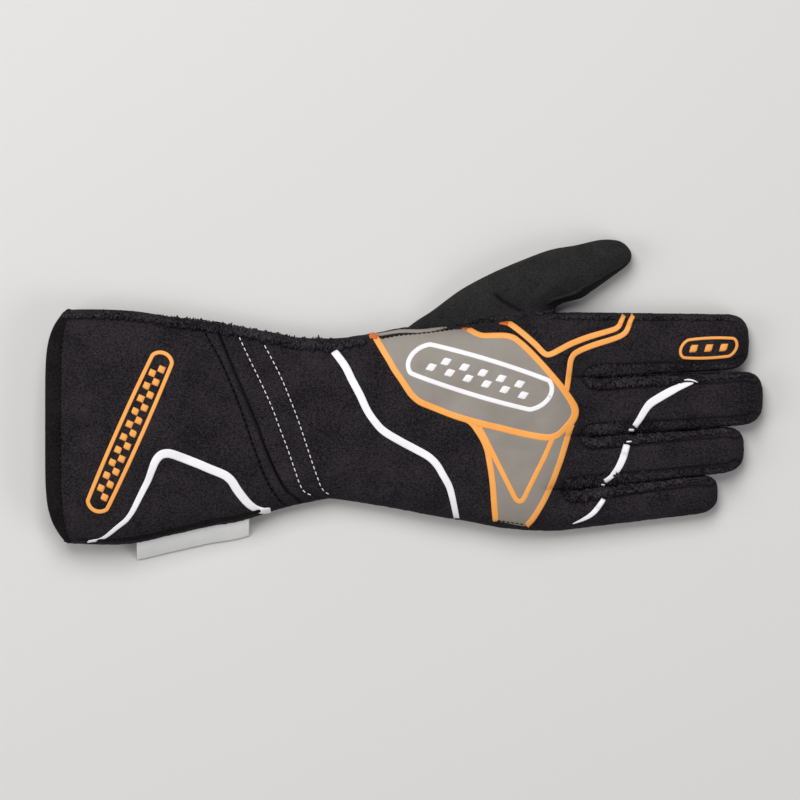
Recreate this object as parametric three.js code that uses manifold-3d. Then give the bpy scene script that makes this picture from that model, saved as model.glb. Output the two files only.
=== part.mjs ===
// Karting glove for the right hand, lying on its palm.
// Millimetres. +X runs from the wrist to the fingertips, +Y to the thumb side and +Z up.
// The origin lies under the middle of the narrowest part of the wrist, on the plane z = 0.
import * as THREE from 'three';
import { mergeVertices } from 'three/addons/utils/BufferGeometryUtils.js';
import Module from 'manifold-3d';

const wasm = await Module();
wasm.setup();

// Cloth and gaps
const knitWall = 1.6; // the two knit layers of back, palm and gauntlet
const suedeWall = 1.5; // the thumb
const sideStripWall = 1.2; // the strips between the fingers
const hemWall = 2.4; // the knit turned over and sewn down at the mouth
const printHeight = 0.5; // printed stripes and trims
const panelHeight = 0.6; // printed grey panels
const pieceGap = 0.3; // clearance between neighbouring pieces
const printGap = 0.7; // clearance of a print over the back, whose ridges it bridges
const trimGap = 0.45; // clearance of a trim over the panel that it edges

// Gauntlet and wrist
const gauntletLength = 100; // mouth to gauntlet seam, along the middle
const wristLength = 36.4; // gauntlet seam to the narrowest line
const cuffWidth = 112.6;
const cuffShift = -4.1; // the cuff hangs over to the little-finger side
const wristWidth = 76.4;
const mouthHeight = 25;
const wristHeight = 18;
const seamSlant = 18.5; // half of the gauntlet seam's run along X
const hemBand = 7.2;
const mouthCorner = 9; // how far the sides of the mouth lie behind its middle

// Hand and fingers
const handLength = 126.5; // narrowest line to the crotch of index and middle finger
const knuckleWidth = 104.4;
const knuckleShift = -1.7;
const knuckleHeight = 21;
const middleLength = 82; // middle finger, crotch line to tip
const fingerHeight = 15.5;
const tipRound = 13; // length of a fingertip's rounding
const knuckleBlend = 24; // length over which the back divides into four finger crowns
const slotWidth = 1; // between neighbouring fingers
const sideStripHeight = 5.4; // strip between two fingers, at the crotch

// Thumb
const thumbStart = 36.1; // narrowest line to the start of the thumb's outline
const thumbLength = 114.2;
const thumbWidth = 27;
const thumbHeight = 17;
const thumbTurn = 17.9; // degrees between the thumb and the hand's length

// Prints and label
const cuffStripeWidth = 4.3;
const wristStripeWidth = 4.6;
const fingerStripeWidth = 3.6;
const trimWidth = 2.6;
const labelLength = 54;
const labelReach = 8.5;
const labelWall = 0.5;
const labelGap = 0.6; // clears the side seam's flat stretches

// Form of a section
const sideShare = 0.4; // height of the side seam as a share of the section's height
const crownPower = 2.4;
const tipPower = 2.4; // bluntness of the fingertips in plan
const soleCorner = 0.38; // share of the half width that rises from the flat sole

const cuffLength = gauntletLength + wristLength;
const rad = Math.PI / 180;

// Cuff from the mouth (0) to the narrowest line (1). Widths and heights are shares of the way
// from the wrist's size to the mouth's.
const cuffSections = [
  { at: 0.0, thumbSide: 0.92, littleSide: 0.91, crown: 1.0 },
  { at: 0.12, thumbSide: 1.0, littleSide: 0.99, crown: 0.95 },
  { at: 0.3, thumbSide: 0.95, littleSide: 0.985, crown: 0.82 },
  { at: 0.44, thumbSide: 0.75, littleSide: 0.8, crown: 0.64 },
  { at: 0.58, thumbSide: 0.58, littleSide: 0.61, crown: 0.42 },
  { at: 0.68, thumbSide: 0.41, littleSide: 0.505, crown: 0.26 },
  { at: 0.82, thumbSide: 0.17, littleSide: 0.24, crown: 0.09 },
  { at: 0.88, thumbSide: 0.04, littleSide: 0.145, crown: 0.04 },
  { at: 1.0, thumbSide: 0.0, littleSide: 0.0, crown: 0.0 },
];

// Hand from the narrowest line (0) to the crotch line (1), as shares of the way from the
// wrist's size to the knuckles'.
const handSections = [
  { at: 0.0, thumbSide: 0.0, littleSide: 0.0, crown: 0.0 },
  { at: 0.06, thumbSide: 0.04, littleSide: 0.07, crown: 0.06 },
  { at: 0.165, thumbSide: 0.18, littleSide: 0.2, crown: 0.25 },
  { at: 0.285, thumbSide: 0.41, littleSide: 0.37, crown: 0.52 },
  { at: 0.4, thumbSide: 0.41, littleSide: 0.55, crown: 0.75 },
  { at: 0.53, thumbSide: 0.43, littleSide: 0.72, crown: 0.92 },
  { at: 0.65, thumbSide: 0.66, littleSide: 0.905, crown: 1.0 },
  { at: 0.8, thumbSide: 0.945, littleSide: 1.0, crown: 0.98 },
  { at: 0.9, thumbSide: 1.0, littleSide: 0.98, crown: 0.85 },
  { at: 1.0, thumbSide: 1.0, littleSide: 0.965, crown: 0.7 },
];

// Fingers. Lengths are shares of the middle finger's, widths and the tips' places of the
// knuckles' width, heights of the finger height.
const fingers = [
  { name: 'index', length: 0.912, base: 0.3, tip: 0.24, tipSide: 0.366, height: 1.0 },
  { name: 'middle', length: 1.0, base: 0.272, tip: 0.243, tipSide: 0.112, height: 1.03 },
  { name: 'ring', length: 0.951, base: 0.245, tip: 0.196, tipSide: -0.121, height: 0.98 },
  { name: 'little', length: 0.877, base: 0.183, tip: 0.172, tipSide: -0.322, height: 0.9 },
];

// How far the crotch line lies behind the hand's full length, at the five finger edges from
// the thumb side on, as shares of the hand's length.
const crotchSetback = [0.004, 0.0, 0.012, 0.08, 0.115];

// Thumb sections from its root inside the hand to the tip. Along is a share of the thumb's
// length, across of its width and crown of its height.
const thumbSections = [
  { outerAlong: -0.053, outerAcross: -0.11, innerAlong: 0.35, innerAcross: -0.93, crown: 0.74 },
  { outerAlong: 0.048, outerAcross: 0.05, innerAlong: 0.42, innerAcross: -0.89, crown: 0.8 },
  { outerAlong: 0.135, outerAcross: 0.15, innerAlong: 0.495, innerAcross: -0.77, crown: 0.86 },
  { outerAlong: 0.27, outerAcross: 0.34, innerAlong: 0.61, innerAcross: -0.52, crown: 0.94 },
  { outerAlong: 0.41, outerAcross: 0.45, innerAlong: 0.66, innerAcross: -0.445, crown: 1.0 },
  { outerAlong: 0.547, outerAcross: 0.507, innerAlong: 0.744, innerAcross: -0.457, crown: 1.0 },
  { outerAlong: 0.682, outerAcross: 0.53, innerAlong: 0.8, innerAcross: -0.39, crown: 0.97 },
  { outerAlong: 0.788, outerAcross: 0.47, innerAlong: 0.855, innerAcross: -0.32, crown: 0.92 },
  { outerAlong: 0.895, outerAcross: 0.425, innerAlong: 0.905, innerAcross: -0.25, crown: 0.82 },
  { outerAlong: 0.963, outerAcross: 0.318, innerAlong: 0.95, innerAcross: -0.15, crown: 0.68 },
  { outerAlong: 0.99, outerAcross: 0.19, innerAlong: 0.98, innerAcross: -0.03, crown: 0.52 },
];

// Soft folds of the back. Along is a share of the cuff's length before the wrist and of the
// hand's after it, across a share of the half width, and the rest are in shares of the wrist's
// width, with the depth in shares of the wrist's height.
const folds = [
  { along: -0.8, across: 0.35, length: 0.5, width: 0.13, turn: 80, depth: 0.07 },
  { along: -0.55, across: -0.4, length: 0.45, width: 0.12, turn: 20, depth: 0.06 },
  { along: -0.1, across: 0.1, length: 0.42, width: 0.13, turn: 70, depth: 0.08 },
  { along: 0.5, across: 0.3, length: 0.4, width: 0.14, turn: 30, depth: 0.06 },
];

// Where the sheets have their lines
const stripLines = [1, 0.92, 0.62, 0, -0.62, -0.92, -1];
const cuffLines = [1, 0.97, 0.88, 0.72, 0.5, 0.25, 0, -0.25, -0.5, -0.72, -0.88, -0.97, -1];
const stripEnds = [0.1, 0.98]; // shares of a finger between which its side strip has sections
const soleLines = [1, 0.93, 0.8, 0.62, 0, -0.62, -0.8, -0.93, -1];
const handStations = [0, 0.1, 0.2, 0.31, 0.42, 0.53, 0.64, 0.75, 0.84, 0.92, 0.97, 1];
const fingerStations = [0.03, 0.16, 0.35, 0.54, 0.71, 0.83, 0.9, 0.955, 0.988, 1];
const cuffStations = [0, 0.1, 0.22, 0.34, 0.46, 0.58, 0.7, 0.84, 1];

/** Value of a column at a place along a table, by a smooth curve through its rows. */
function interpolate(rows, column, at) {
  let row = 0;
  while (row < rows.length - 2 && at > rows[row + 1].at) row += 1;
  const slope = (first, last) =>
    (rows[last][column] - rows[first][column]) / (rows[last].at - rows[first].at);
  const span = rows[row + 1].at - rows[row].at;
  const share = THREE.MathUtils.clamp((at - rows[row].at) / span, 0, 1);
  const startSlope = slope(Math.max(row - 1, 0), row + 1) * span;
  const endSlope = slope(row, Math.min(row + 2, rows.length - 1)) * span;
  const rise = rows[row + 1][column] - rows[row][column];
  const cubic = startSlope + endSlope - 2 * rise;
  const square = 3 * rise - 2 * startSlope - endSlope;
  return rows[row][column] + share * (startSlope + share * (square + share * cubic));
}

/** Height share of a rounded crown across a section, t from -1 to 1. */
function crownShare(t, power = crownPower) {
  return Math.pow(Math.max(0, 1 - Math.pow(Math.abs(t), power)), 1 / power);
}

/** Share by which the sole is down: 1 on the flat part and 0 at the side seams. */
function soleShare(t, corner = soleCorner) {
  const rise = Math.max(0, (Math.abs(t) - (1 - corner)) / corner);
  return Math.sqrt(Math.max(0, 1 - rise * rise));
}

/** Edges and height of cuff and hand at one place along X. */
function bodyAt(x) {
  const inCuff = x < 0;
  const rows = inCuff ? cuffSections : handSections;
  const at = inCuff ? 1 + x / cuffLength : x / handLength;
  const width = inCuff ? cuffWidth : knuckleWidth;
  const shift = inCuff ? cuffShift : knuckleShift;
  const height = inCuff ? mouthHeight : knuckleHeight;
  const half = wristWidth / 2;
  const thumbReach = width / 2 + shift - half;
  const littleReach = width / 2 - shift - half;
  return {
    thumbSide: half + thumbReach * interpolate(rows, 'thumbSide', at),
    littleSide: -half - littleReach * interpolate(rows, 'littleSide', at),
    crown: wristHeight + (height - wristHeight) * interpolate(rows, 'crown', at),
  };
}

/** Y at a share across the body, t = 1 on the thumb side and -1 on the little-finger side. */
function bodySide(x, t) {
  const body = bodyAt(x);
  return THREE.MathUtils.lerp(body.littleSide, body.thumbSide, (1 + t) / 2);
}

/** Depth of the soft folds under the smooth crown at a place of the back. */
function foldDepth(x, t) {
  let depth = 0;
  for (const fold of folds) {
    const centre = fold.along * (fold.along < 0 ? cuffLength : handLength);
    const dx = x - centre;
    const dy = ((t - fold.across) * wristWidth) / 2;
    const turn = fold.turn * rad;
    const along = (dx * Math.cos(turn) + dy * Math.sin(turn)) / (fold.length * wristWidth);
    const across = (dy * Math.cos(turn) - dx * Math.sin(turn)) / (fold.width * wristWidth);
    depth += fold.depth * wristHeight * Math.exp(-4 * along * along - 4 * across * across);
  }
  return depth;
}

/** Height of the back's outer face over the floor, away from the fingers. */
function backHeight(x, t) {
  const body = bodyAt(x);
  const seam = sideShare * body.crown + pieceGap / 2;
  return seam + (body.crown - foldDepth(x, t) - seam) * crownShare(t);
}

/** Height of the palm's and the gauntlet's underside, away from the fingers. */
function underHeight(x, t) {
  const seam = sideShare * bodyAt(x).crown - pieceGap / 2;
  return seam * (1 - soleShare(t, soleCorner / 2));
}

/** X of the gauntlet seam at a share across the body. */
function gauntletSeam(t) {
  return -wristLength - seamSlant * t;
}

/** X of the mouth's edge at a share across the body. */
function mouthEdge(t) {
  return -cuffLength + mouthCorner * Math.pow(Math.abs(t), 6);
}

/** Plan place where two fingers part, for the five finger edges from the thumb side on. */
function crotchPoint(edge) {
  const x = handLength * (1 - crotchSetback[edge]);
  const body = bodyAt(x);
  let across = 0;
  for (let finger = 0; finger < edge; finger += 1) across += fingers[finger].base;
  return new THREE.Vector2(x, THREE.MathUtils.lerp(body.thumbSide, body.littleSide, across));
}

/** Where a finger edge's line runs over the hand, from the gauntlet seam (0) to the crotch (1). */
function handEdge(edge, share) {
  const seamT = 1 - edge / 2;
  const crotch = crotchPoint(edge);
  const start = gauntletSeam(seamT) + pieceGap / 2;
  const x = THREE.MathUtils.lerp(start, crotch.x, share);
  const body = bodyAt(crotch.x);
  const crotchT = (2 * (crotch.y - body.littleSide)) / (body.thumbSide - body.littleSide) - 1;
  return new THREE.Vector2(x, bodySide(x, THREE.MathUtils.lerp(seamT, crotchT, share)));
}

/** Share of full size left at a distance from a fingertip. */
function tipShare(distance, power) {
  const into = THREE.MathUtils.clamp(1 - distance / tipRound, 0, 1);
  return Math.pow(1 - Math.pow(into, power), 1 / power);
}

/** One finger's plan edge at a share of its length: side 1 faces the thumb, -1 the little finger. */
function fingerEdge(index, side, share) {
  const finger = fingers[index];
  const upper = crotchPoint(index);
  const lower = crotchPoint(index + 1);
  const length = finger.length * middleLength;
  const base = (upper.y - lower.y) / 2;
  const centreBase = (upper.y + lower.y) / 2;
  const centreTip = knuckleShift + finger.tipSide * knuckleWidth;
  const inner = side > 0 ? index > 0 : index < fingers.length - 1;
  const slot = inner ? (slotWidth / 2) * Math.min(1, share / fingerStations[0]) : 0;
  const half = THREE.MathUtils.lerp(base, (finger.tip * knuckleWidth) / 2, share);
  const centre = THREE.MathUtils.lerp(centreBase, centreTip, share);
  const start = side > 0 ? upper.x : lower.x;
  const tip = (upper.x + lower.x) / 2 + length;
  const rounding = tipShare((1 - share) * length, tipPower);
  return new THREE.Vector2(
    THREE.MathUtils.lerp(start, tip, share),
    centre + side * (half - slot) * rounding,
  );
}

/** Half the height of the strip between two fingers at a share of the finger's length. */
function sideStripHalf(share) {
  return (sideStripHeight / 2) * (1 - 0.8 * share * share);
}

/** Crown, seam height and edge heights of a finger at a share of its length. */
function fingerHeights(index, share) {
  const finger = fingers[index];
  const length = finger.length * middleLength;
  const crown = fingerHeight * finger.height * (1 - 0.12 * share);
  const seam = sideShare * fingerHeight;
  const strip = sideStripHalf(share) + pieceGap / 2;
  const edge = (side) => {
    const inner = side > 0 ? index > 0 : index < fingers.length - 1;
    return inner ? strip : 0;
  };
  return { crown, seam, edge, rounding: tipShare((1 - share) * length, 2) };
}

/** Height of a finger's back (up = 1) or front (up = -1) at a share along and t across. */
function fingerSurface(index, share, t, up) {
  const heights = fingerHeights(index, share);
  const lift = THREE.MathUtils.lerp(heights.edge(-1), heights.edge(1), (1 + t) / 2);
  const rim = heights.seam + up * (lift + pieceGap / 2);
  if (up > 0) return rim + (heights.crown - rim) * crownShare(t) * heights.rounding;
  return rim * (1 - soleShare(t) * heights.rounding);
}

/** A surface of welded quads, open at its rims. */
class Sheet {
  constructor() {
    this.points = [];
    this.locks = [];
    this.faces = [];
    this.places = new Map();
  }

  /** Adds or finds a point. Locks are directions in which its inner twin must not move. */
  add(point, locks = []) {
    const key = [point.x, point.y, point.z].map((value) => Math.round(value * 1e4)).join();
    if (!this.places.has(key)) {
      this.places.set(key, this.points.length);
      this.points.push(point.clone());
      this.locks.push([]);
    }
    const index = this.places.get(key);
    this.locks[index].push(...locks);
    return index;
  }

  /** Adds a triangle unless two of its corners are the same point. */
  addFace(a, b, c) {
    if (a !== b && b !== c && c !== a) this.faces.push([a, b, c]);
  }

  /** Adds a net of points in rows. Each quad faces up when rows run +X and columns run -Y. */
  addGrid(rows, flip = false) {
    for (let i = 0; i + 1 < rows.length; i += 1) {
      for (let j = 0; j + 1 < rows[i].length; j += 1) {
        const corners = [rows[i][j], rows[i][j + 1], rows[i + 1][j + 1], rows[i + 1][j]];
        if (flip) corners.reverse();
        this.addFace(corners[0], corners[1], corners[2]);
        this.addFace(corners[0], corners[2], corners[3]);
      }
    }
  }

  /** Unit normals at the points, weighted by the area of the faces around them. */
  normals() {
    const sums = this.points.map(() => new THREE.Vector3());
    for (const [a, b, c] of this.faces) {
      const first = this.points[b].clone().sub(this.points[a]);
      const second = this.points[c].clone().sub(this.points[a]);
      const area = first.cross(second);
      for (const index of [a, b, c]) sums[index].add(area);
    }
    return sums.map((sum) => sum.normalize());
  }

  /** Closed cloth wall: this sheet, a second one a wall deeper, and the rims between them. */
  thicken(wall) {
    const normals = this.normals();
    const inner = this.points.map((point, index) => {
      const direction = normals[index].clone();
      for (const lock of this.locks[index]) direction.addScaledVector(lock, -direction.dot(lock));
      return point.clone().addScaledVector(direction.normalize(), -wall);
    });
    return this.closeWith(inner);
  }

  /** Closed plate between this sheet and a twin of the same net that lies below it. */
  closeWith(inner) {
    const count = this.points.length;
    const faces = [...this.faces];
    const edges = new Set();
    for (const [a, b, c] of this.faces) {
      faces.push([c + count, b + count, a + count]);
      for (const [from, to] of [[a, b], [b, c], [c, a]]) edges.add(`${from},${to}`);
    }
    for (const edge of edges) {
      const [from, to] = edge.split(',').map(Number);
      if (edges.has(`${to},${from}`)) continue;
      faces.push([to, from, from + count], [to, from + count, to + count]);
    }
    return toGeometry([...this.points, ...inner], faces);
  }

  /** Point and normal of the sheet at a plan place, read on the triangle that covers it. */
  dropTo(x, y) {
    const normals = this.normals();
    let best = null;
    for (const face of this.faces) {
      const [a, b, c] = face.map((index) => this.points[index]);
      const area = (b.x - a.x) * (c.y - a.y) - (c.x - a.x) * (b.y - a.y);
      if (Math.abs(area) < 1e-9) continue;
      const shareB = ((x - a.x) * (c.y - a.y) - (c.x - a.x) * (y - a.y)) / area;
      const shareC = ((b.x - a.x) * (y - a.y) - (x - a.x) * (b.y - a.y)) / area;
      const miss = Math.max(-shareB, -shareC, shareB + shareC - 1, 0);
      if (best === null || miss < best.miss) best = { miss, face, shareB, shareC };
      if (miss === 0) break;
    }
    const shares = [1 - best.shareB - best.shareC, best.shareB, best.shareC];
    const point = new THREE.Vector3();
    const normal = new THREE.Vector3();
    best.face.forEach((index, corner) => {
      point.addScaledVector(this.points[index], shares[corner]);
      normal.addScaledVector(normals[index], shares[corner]);
    });
    return { point, normal: normal.normalize() };
  }
}

/** Geometry of triangles given as corner numbers. */
function toGeometry(points, faces) {
  const geometry = new THREE.BufferGeometry();
  const position = points.flatMap((point) => [point.x, point.y, point.z]);
  geometry.setAttribute('position', new THREE.Float32BufferAttribute(position, 3));
  geometry.setIndex(faces.flat());
  return geometry;
}

/** Solid for joins and cuts from a closed geometry. */
function toSolid(geometry) {
  const bare = geometry.clone();
  bare.deleteAttribute('normal');
  bare.deleteAttribute('uv');
  const merged = mergeVertices(bare, 1e-4);
  return new wasm.Manifold(new wasm.Mesh({
    numProp: 3,
    vertProperties: new Float32Array(merged.attributes.position.array),
    triVerts: new Uint32Array(merged.index.array),
  }));
}

/** Geometry with another solid's shape cut out of it. */
function cutBy(geometry, tool) {
  const mesh = toSolid(geometry).subtract(toSolid(tool)).getMesh();
  const cut = new THREE.BufferGeometry();
  cut.setAttribute('position', new THREE.BufferAttribute(new Float32Array(mesh.vertProperties), 3));
  cut.setIndex([...mesh.triVerts]);
  return cut;
}

const upright = new THREE.Vector3(0, 0, 1);

/** Plan normal of the gauntlet seam, in which its rims must not move. */
function seamNormal() {
  const run = gauntletSeam(-1) - gauntletSeam(1);
  const width = bodySide(gauntletSeam(1), 1) - bodySide(gauntletSeam(-1), -1);
  return new THREE.Vector3(width, run, 0).normalize();
}

/** The hand with its four fingers, as the back (up = 1) or the palm (up = -1). */
function handSheet(up) {
  const sheet = new Sheet();
  fingers.forEach((finger, index) => {
    const rows = [];
    for (const share of handStations) {
      rows.push(stripLines.map((t) => {
        const upper = handEdge(index, share);
        const lower = handEdge(index + 1, share);
        const plan = lower.clone().lerp(upper, (1 + t) / 2);
        const crotch = THREE.MathUtils.lerp(
          crotchPoint(index + 1).x, crotchPoint(index).x, (1 + t) / 2);
        const body = bodyAt(plan.x);
        const bodyT = THREE.MathUtils.clamp(
          (2 * (plan.y - body.littleSide)) / (body.thumbSide - body.littleSide) - 1, -1, 1);
        const blend = THREE.MathUtils.smoothstep(plan.x, crotch - knuckleBlend, crotch);
        const open = up > 0 ? backHeight(plan.x, bodyT) : underHeight(plan.x, bodyT);
        const split = fingerSurface(index, 0, t, up);
        const point = new THREE.Vector3(plan.x, plan.y, THREE.MathUtils.lerp(open, split, blend));
        const locks = [];
        const outer = (index === 0 && t === 1) || (index === fingers.length - 1 && t === -1);
        if (outer || (share === 1 && Math.abs(t) === 1)) locks.push(upright);
        if (share === 0) locks.push(seamNormal());
        return sheet.add(point, locks);
      }));
    }
    for (const share of fingerStations) {
      rows.push(stripLines.map((t) => {
        const upper = fingerEdge(index, 1, share);
        const lower = fingerEdge(index, -1, share);
        const plan = lower.clone().lerp(upper, (1 + t) / 2);
        const height = fingerSurface(index, share, share === 1 ? 0 : t, up);
        const atRim = Math.abs(t) === 1 || share === 1;
        return sheet.add(new THREE.Vector3(plan.x, plan.y, height), atRim ? [upright] : []);
      }));
    }
    sheet.addGrid(rows, up < 0);
  });
  return sheet;
}

/** The gauntlet's upper (up = 1) or under (up = -1) half, from the hem to the gauntlet seam. */
function gauntletSheet(up) {
  const sheet = new Sheet();
  const lines = up > 0 ? cuffLines : soleLines;
  const rows = cuffStations.map((share) => lines.map((t) => {
    const start = mouthEdge(t) + hemBand + pieceGap;
    const end = gauntletSeam(t) - pieceGap / 2;
    const x = THREE.MathUtils.lerp(start, end, share);
    const height = up > 0 ? backHeight(x, t) : underHeight(x, t);
    const locks = [];
    if (Math.abs(t) === 1) locks.push(upright);
    if (share === 0) locks.push(new THREE.Vector3(1, 0, 0));
    if (share === 1) locks.push(seamNormal());
    return sheet.add(new THREE.Vector3(x, bodySide(x, t), height), locks);
  }));
  sheet.addGrid(rows, up < 0);
  return sheet;
}

/** The turned hem: a closed band round the mouth. */
function hemSheet() {
  const sheet = new Sheet();
  const loop = [];
  cuffLines.forEach((t) => loop.push({ t, height: backHeight }));
  [...soleLines].reverse().slice(1, -1).forEach((t) => loop.push({ t, height: underHeight }));
  loop.push(loop[0]);
  const rows = [0, 1].map((share) => loop.map(({ t, height }) => {
    const x = mouthEdge(t) + hemBand * share;
    const seam = sideShare * bodyAt(x).crown;
    const z = Math.abs(t) === 1 ? seam : height(x, t);
    return sheet.add(new THREE.Vector3(x, bodySide(x, t), z), [new THREE.Vector3(1, 0, 0)]);
  }));
  sheet.addGrid(rows);
  return sheet;
}

/** Plan place in the thumb's own measures: along its length and across its width. */
function thumbPlan(along, across) {
  const turn = thumbTurn * rad;
  const forward = along * thumbLength;
  const outward = across * thumbWidth;
  return new THREE.Vector2(
    thumbStart + forward * Math.cos(turn) - outward * Math.sin(turn),
    bodyAt(thumbStart).thumbSide + forward * Math.sin(turn) + outward * Math.cos(turn),
  );
}

/** The thumb's skin, grown by a clearance when it serves as the hand's cutter. */
function thumbSheet(grow = 0) {
  const sheet = new Sheet();
  const turns = [1, 0.9, 0.62, 0.25, -0.25, -0.62, -0.9, -1];
  const floor = [-0.9, -0.62, 0, 0.62, 0.9];
  const rows = thumbSections.map((section, index) => {
    const outer = thumbPlan(section.outerAlong, section.outerAcross);
    const inner = thumbPlan(section.innerAlong, section.innerAcross);
    const middle = outer.clone().add(inner).multiplyScalar(0.5);
    const half = outer.clone().sub(inner).multiplyScalar(0.5);
    half.setLength(half.length() + grow);
    const crown = thumbHeight * section.crown + grow;
    const seam = sideShare * thumbHeight * section.crown;
    const place = (t, z) => {
      const plan = middle.clone().addScaledVector(half, t);
      const along = new THREE.Vector3(half.y, -half.x, 0).normalize();
      return sheet.add(new THREE.Vector3(plan.x, plan.y, z), index === 0 ? [along] : []);
    };
    const loop = turns.map((t) => place(t, seam + (crown - seam) * crownShare(t)));
    floor.forEach((t) => loop.push(place(t, (seam + grow) * (1 - soleShare(t)) - grow)));
    loop.push(loop[0]);
    return loop;
  });
  const tip = thumbPlan(1, 0.08);
  const end = sheet.add(new THREE.Vector3(
    tip.x + grow, tip.y, sideShare * thumbHeight * thumbSections.at(-1).crown));
  rows.push(rows[0].map(() => end));
  sheet.addGrid(rows);
  if (grow > 0) {
    const root = rows[0];
    for (let j = 1; j + 2 < root.length; j += 1) sheet.addFace(root[0], root[j + 1], root[j]);
  }
  return sheet;
}

/** Strip between two fingers: down one finger's side, round the crotch and up the next. */
function sideStrip(index) {
  const crotch = crotchPoint(index + 1);
  const turnIn = crotch.x + 2 * pieceGap;
  const turnOut = turnIn + sideStripWall;
  const along = fingerStations.filter((share) => share > stripEnds[0] && share < stripEnds[1]);
  const stations = [];
  const addLeg = (finger, side, shares) => {
    for (const share of shares) {
      const edge = fingerEdge(finger, side, share);
      const slot = new THREE.Vector2(edge.x, edge.y);
      const deep = new THREE.Vector2(edge.x, edge.y - side * sideStripWall);
      stations.push({ slot, deep, half: sideStripHalf(share), seam: fingerHeights(finger, 0).seam });
    }
  };
  addLeg(index, -1, [...along].reverse());
  for (const [finger, side] of [[index, -1], [index + 1, 1]]) {
    const edge = fingerEdge(finger, side, fingerStations[0]);
    const slot = new THREE.Vector2(turnOut, edge.y);
    const deep = new THREE.Vector2(turnIn, edge.y - side * sideStripWall);
    stations.push({ slot, deep, half: sideStripHalf(0), seam: fingerHeights(finger, 0).seam });
  }
  addLeg(index + 1, 1, along);
  const points = [];
  for (const { slot, deep, half, seam } of stations) {
    const low = seam - half;
    const high = seam + half;
    for (const [plan, z] of [[slot, low], [slot, high], [deep, high], [deep, low]]) {
      points.push(new THREE.Vector3(plan.x, plan.y, z));
    }
  }
  return tubeGeometry(points, 4);
}

/** Closed tube through rings of points that follow each other along a path. */
function tubeGeometry(points, ring) {
  const faces = [];
  const count = points.length / ring;
  for (let i = 0; i + 1 < count; i += 1) {
    for (let j = 0; j < ring; j += 1) {
      const a = i * ring + j;
      const b = i * ring + ((j + 1) % ring);
      faces.push([a, b, b + ring], [a, b + ring, a + ring]);
    }
  }
  const last = (count - 1) * ring;
  for (let j = 1; j + 1 < ring; j += 1) {
    faces.push([0, j + 1, j], [last, last + j, last + j + 1]);
  }
  return toGeometry(points, faces);
}

/** Printed plate over a sheet: rows of plan places, lifted and of a given thickness. */
function printedPlate(base, planRows, lift, thickness) {
  const sheet = new Sheet();
  const inner = [];
  const rows = planRows.map((row) => row.map((plan) => {
    const { point, normal } = base.dropTo(plan.x, plan.y);
    const index = sheet.add(point.clone().addScaledVector(normal, lift + thickness));
    inner[index] = point.clone().addScaledVector(normal, lift);
    return index;
  }));
  const [first, second] = [planRows[0], planRows[1]];
  const along = second[0].clone().sub(first[0]);
  const across = first.at(-1).clone().sub(first[0]);
  sheet.addGrid(rows, along.cross(across) > 0);
  return sheet.closeWith(inner);
}

/** Plan rows of a stripe of even width along a line of places. */
function stripeRows(line, width, step) {
  const curve = new THREE.SplineCurve(line);
  const count = Math.max(2, Math.round(curve.getLength() / step));
  const rows = [];
  for (let i = 0; i <= count; i += 1) {
    const share = i / count;
    const centre = curve.getPointAt(share);
    const tangent = curve.getTangentAt(share);
    const side = new THREE.Vector2(-tangent.y, tangent.x).multiplyScalar(width / 2);
    rows.push([-1, 0, 1].map((across) => centre.clone().addScaledVector(side, across)));
  }
  return rows;
}

/** Plan rows of a panel between two lines of places. */
function panelRows(first, second, count, across) {
  const from = new THREE.SplineCurve(first);
  const to = new THREE.SplineCurve(second);
  const rows = [];
  for (let i = 0; i <= count; i += 1) {
    const start = from.getPointAt(i / count);
    const end = to.getPointAt(i / count);
    const row = [];
    for (let j = 0; j <= across; j += 1) row.push(start.clone().lerp(end, j / across));
    rows.push(row);
  }
  return rows;
}

/** Plan place on the cuff: share from the mouth to the wrist, and share across. */
function onCuff([along, across]) {
  const x = cuffLength * (along - 1);
  return new THREE.Vector2(x, bodySide(x, across));
}

/** Plan place on the hand: share from the wrist to the crotch line, and share across. */
function onHand([along, across]) {
  const x = handLength * along;
  return new THREE.Vector2(x, bodySide(x, across));
}

/** Plan place on a finger: its number, the share along it and the share across it. */
function onFinger([index, along, across]) {
  const upper = fingerEdge(index, 1, along);
  const lower = fingerEdge(index, -1, along);
  return lower.lerp(upper, (1 + across) / 2);
}

// Lines of the prints. Each row holds shares along and across, t = 1 on the thumb side.
const cuffStripeLine = [
  [0.175, -0.93], [0.217, -0.9], [0.267, -0.82], [0.323, -0.639], [0.365, -0.406],
  [0.395, -0.285], [0.43, -0.255], [0.542, -0.374], [0.633, -0.517], [0.676, -0.661],
  [0.718, -0.858], [0.755, -0.93],
];
const wristStripeLine = [
  [0.015, 0.854], [0.084, 0.472], [0.141, 0.106], [0.202, -0.139], [0.323, -0.319],
  [0.407, -0.46], [0.452, -0.656], [0.471, -0.82], [0.478, -0.93],
];
const panelTopLine = [
  [0.18, 0.88], [0.285, 0.88], [0.5, 0.88], [0.57, 0.87], [0.665, 0.84], [0.692, 0.81],
  [0.772, 0.633], [0.859, 0.385], [0.925, 0.17],
];
const panelBottomLine = [
  [0.184, 0.85], [0.247, 0.527], [0.304, 0.26], [0.335, 0.19], [0.437, 0.105],
  [0.608, -0.027], [0.779, -0.118], [0.859, -0.11], [0.928, 0.04],
];
const sideTopLine = [
  [0.51, 0.0], [0.608, -0.075], [0.722, -0.155], [0.817, -0.175], [0.874, -0.155], [0.928, -0.04],
];
const sideBottomLine = [[0.62, -0.93], [0.684, -0.935], [0.745, -0.93]];
const sideTrimLine = [
  [0.517, -0.03], [0.559, -0.14], [0.589, -0.358], [0.606, -0.65], [0.616, -0.87],
  [0.64, -0.925], [0.725, -0.925], [0.76, -0.87], [0.798, -0.768], [0.875, -0.375], [0.92, -0.07],
];
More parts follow.
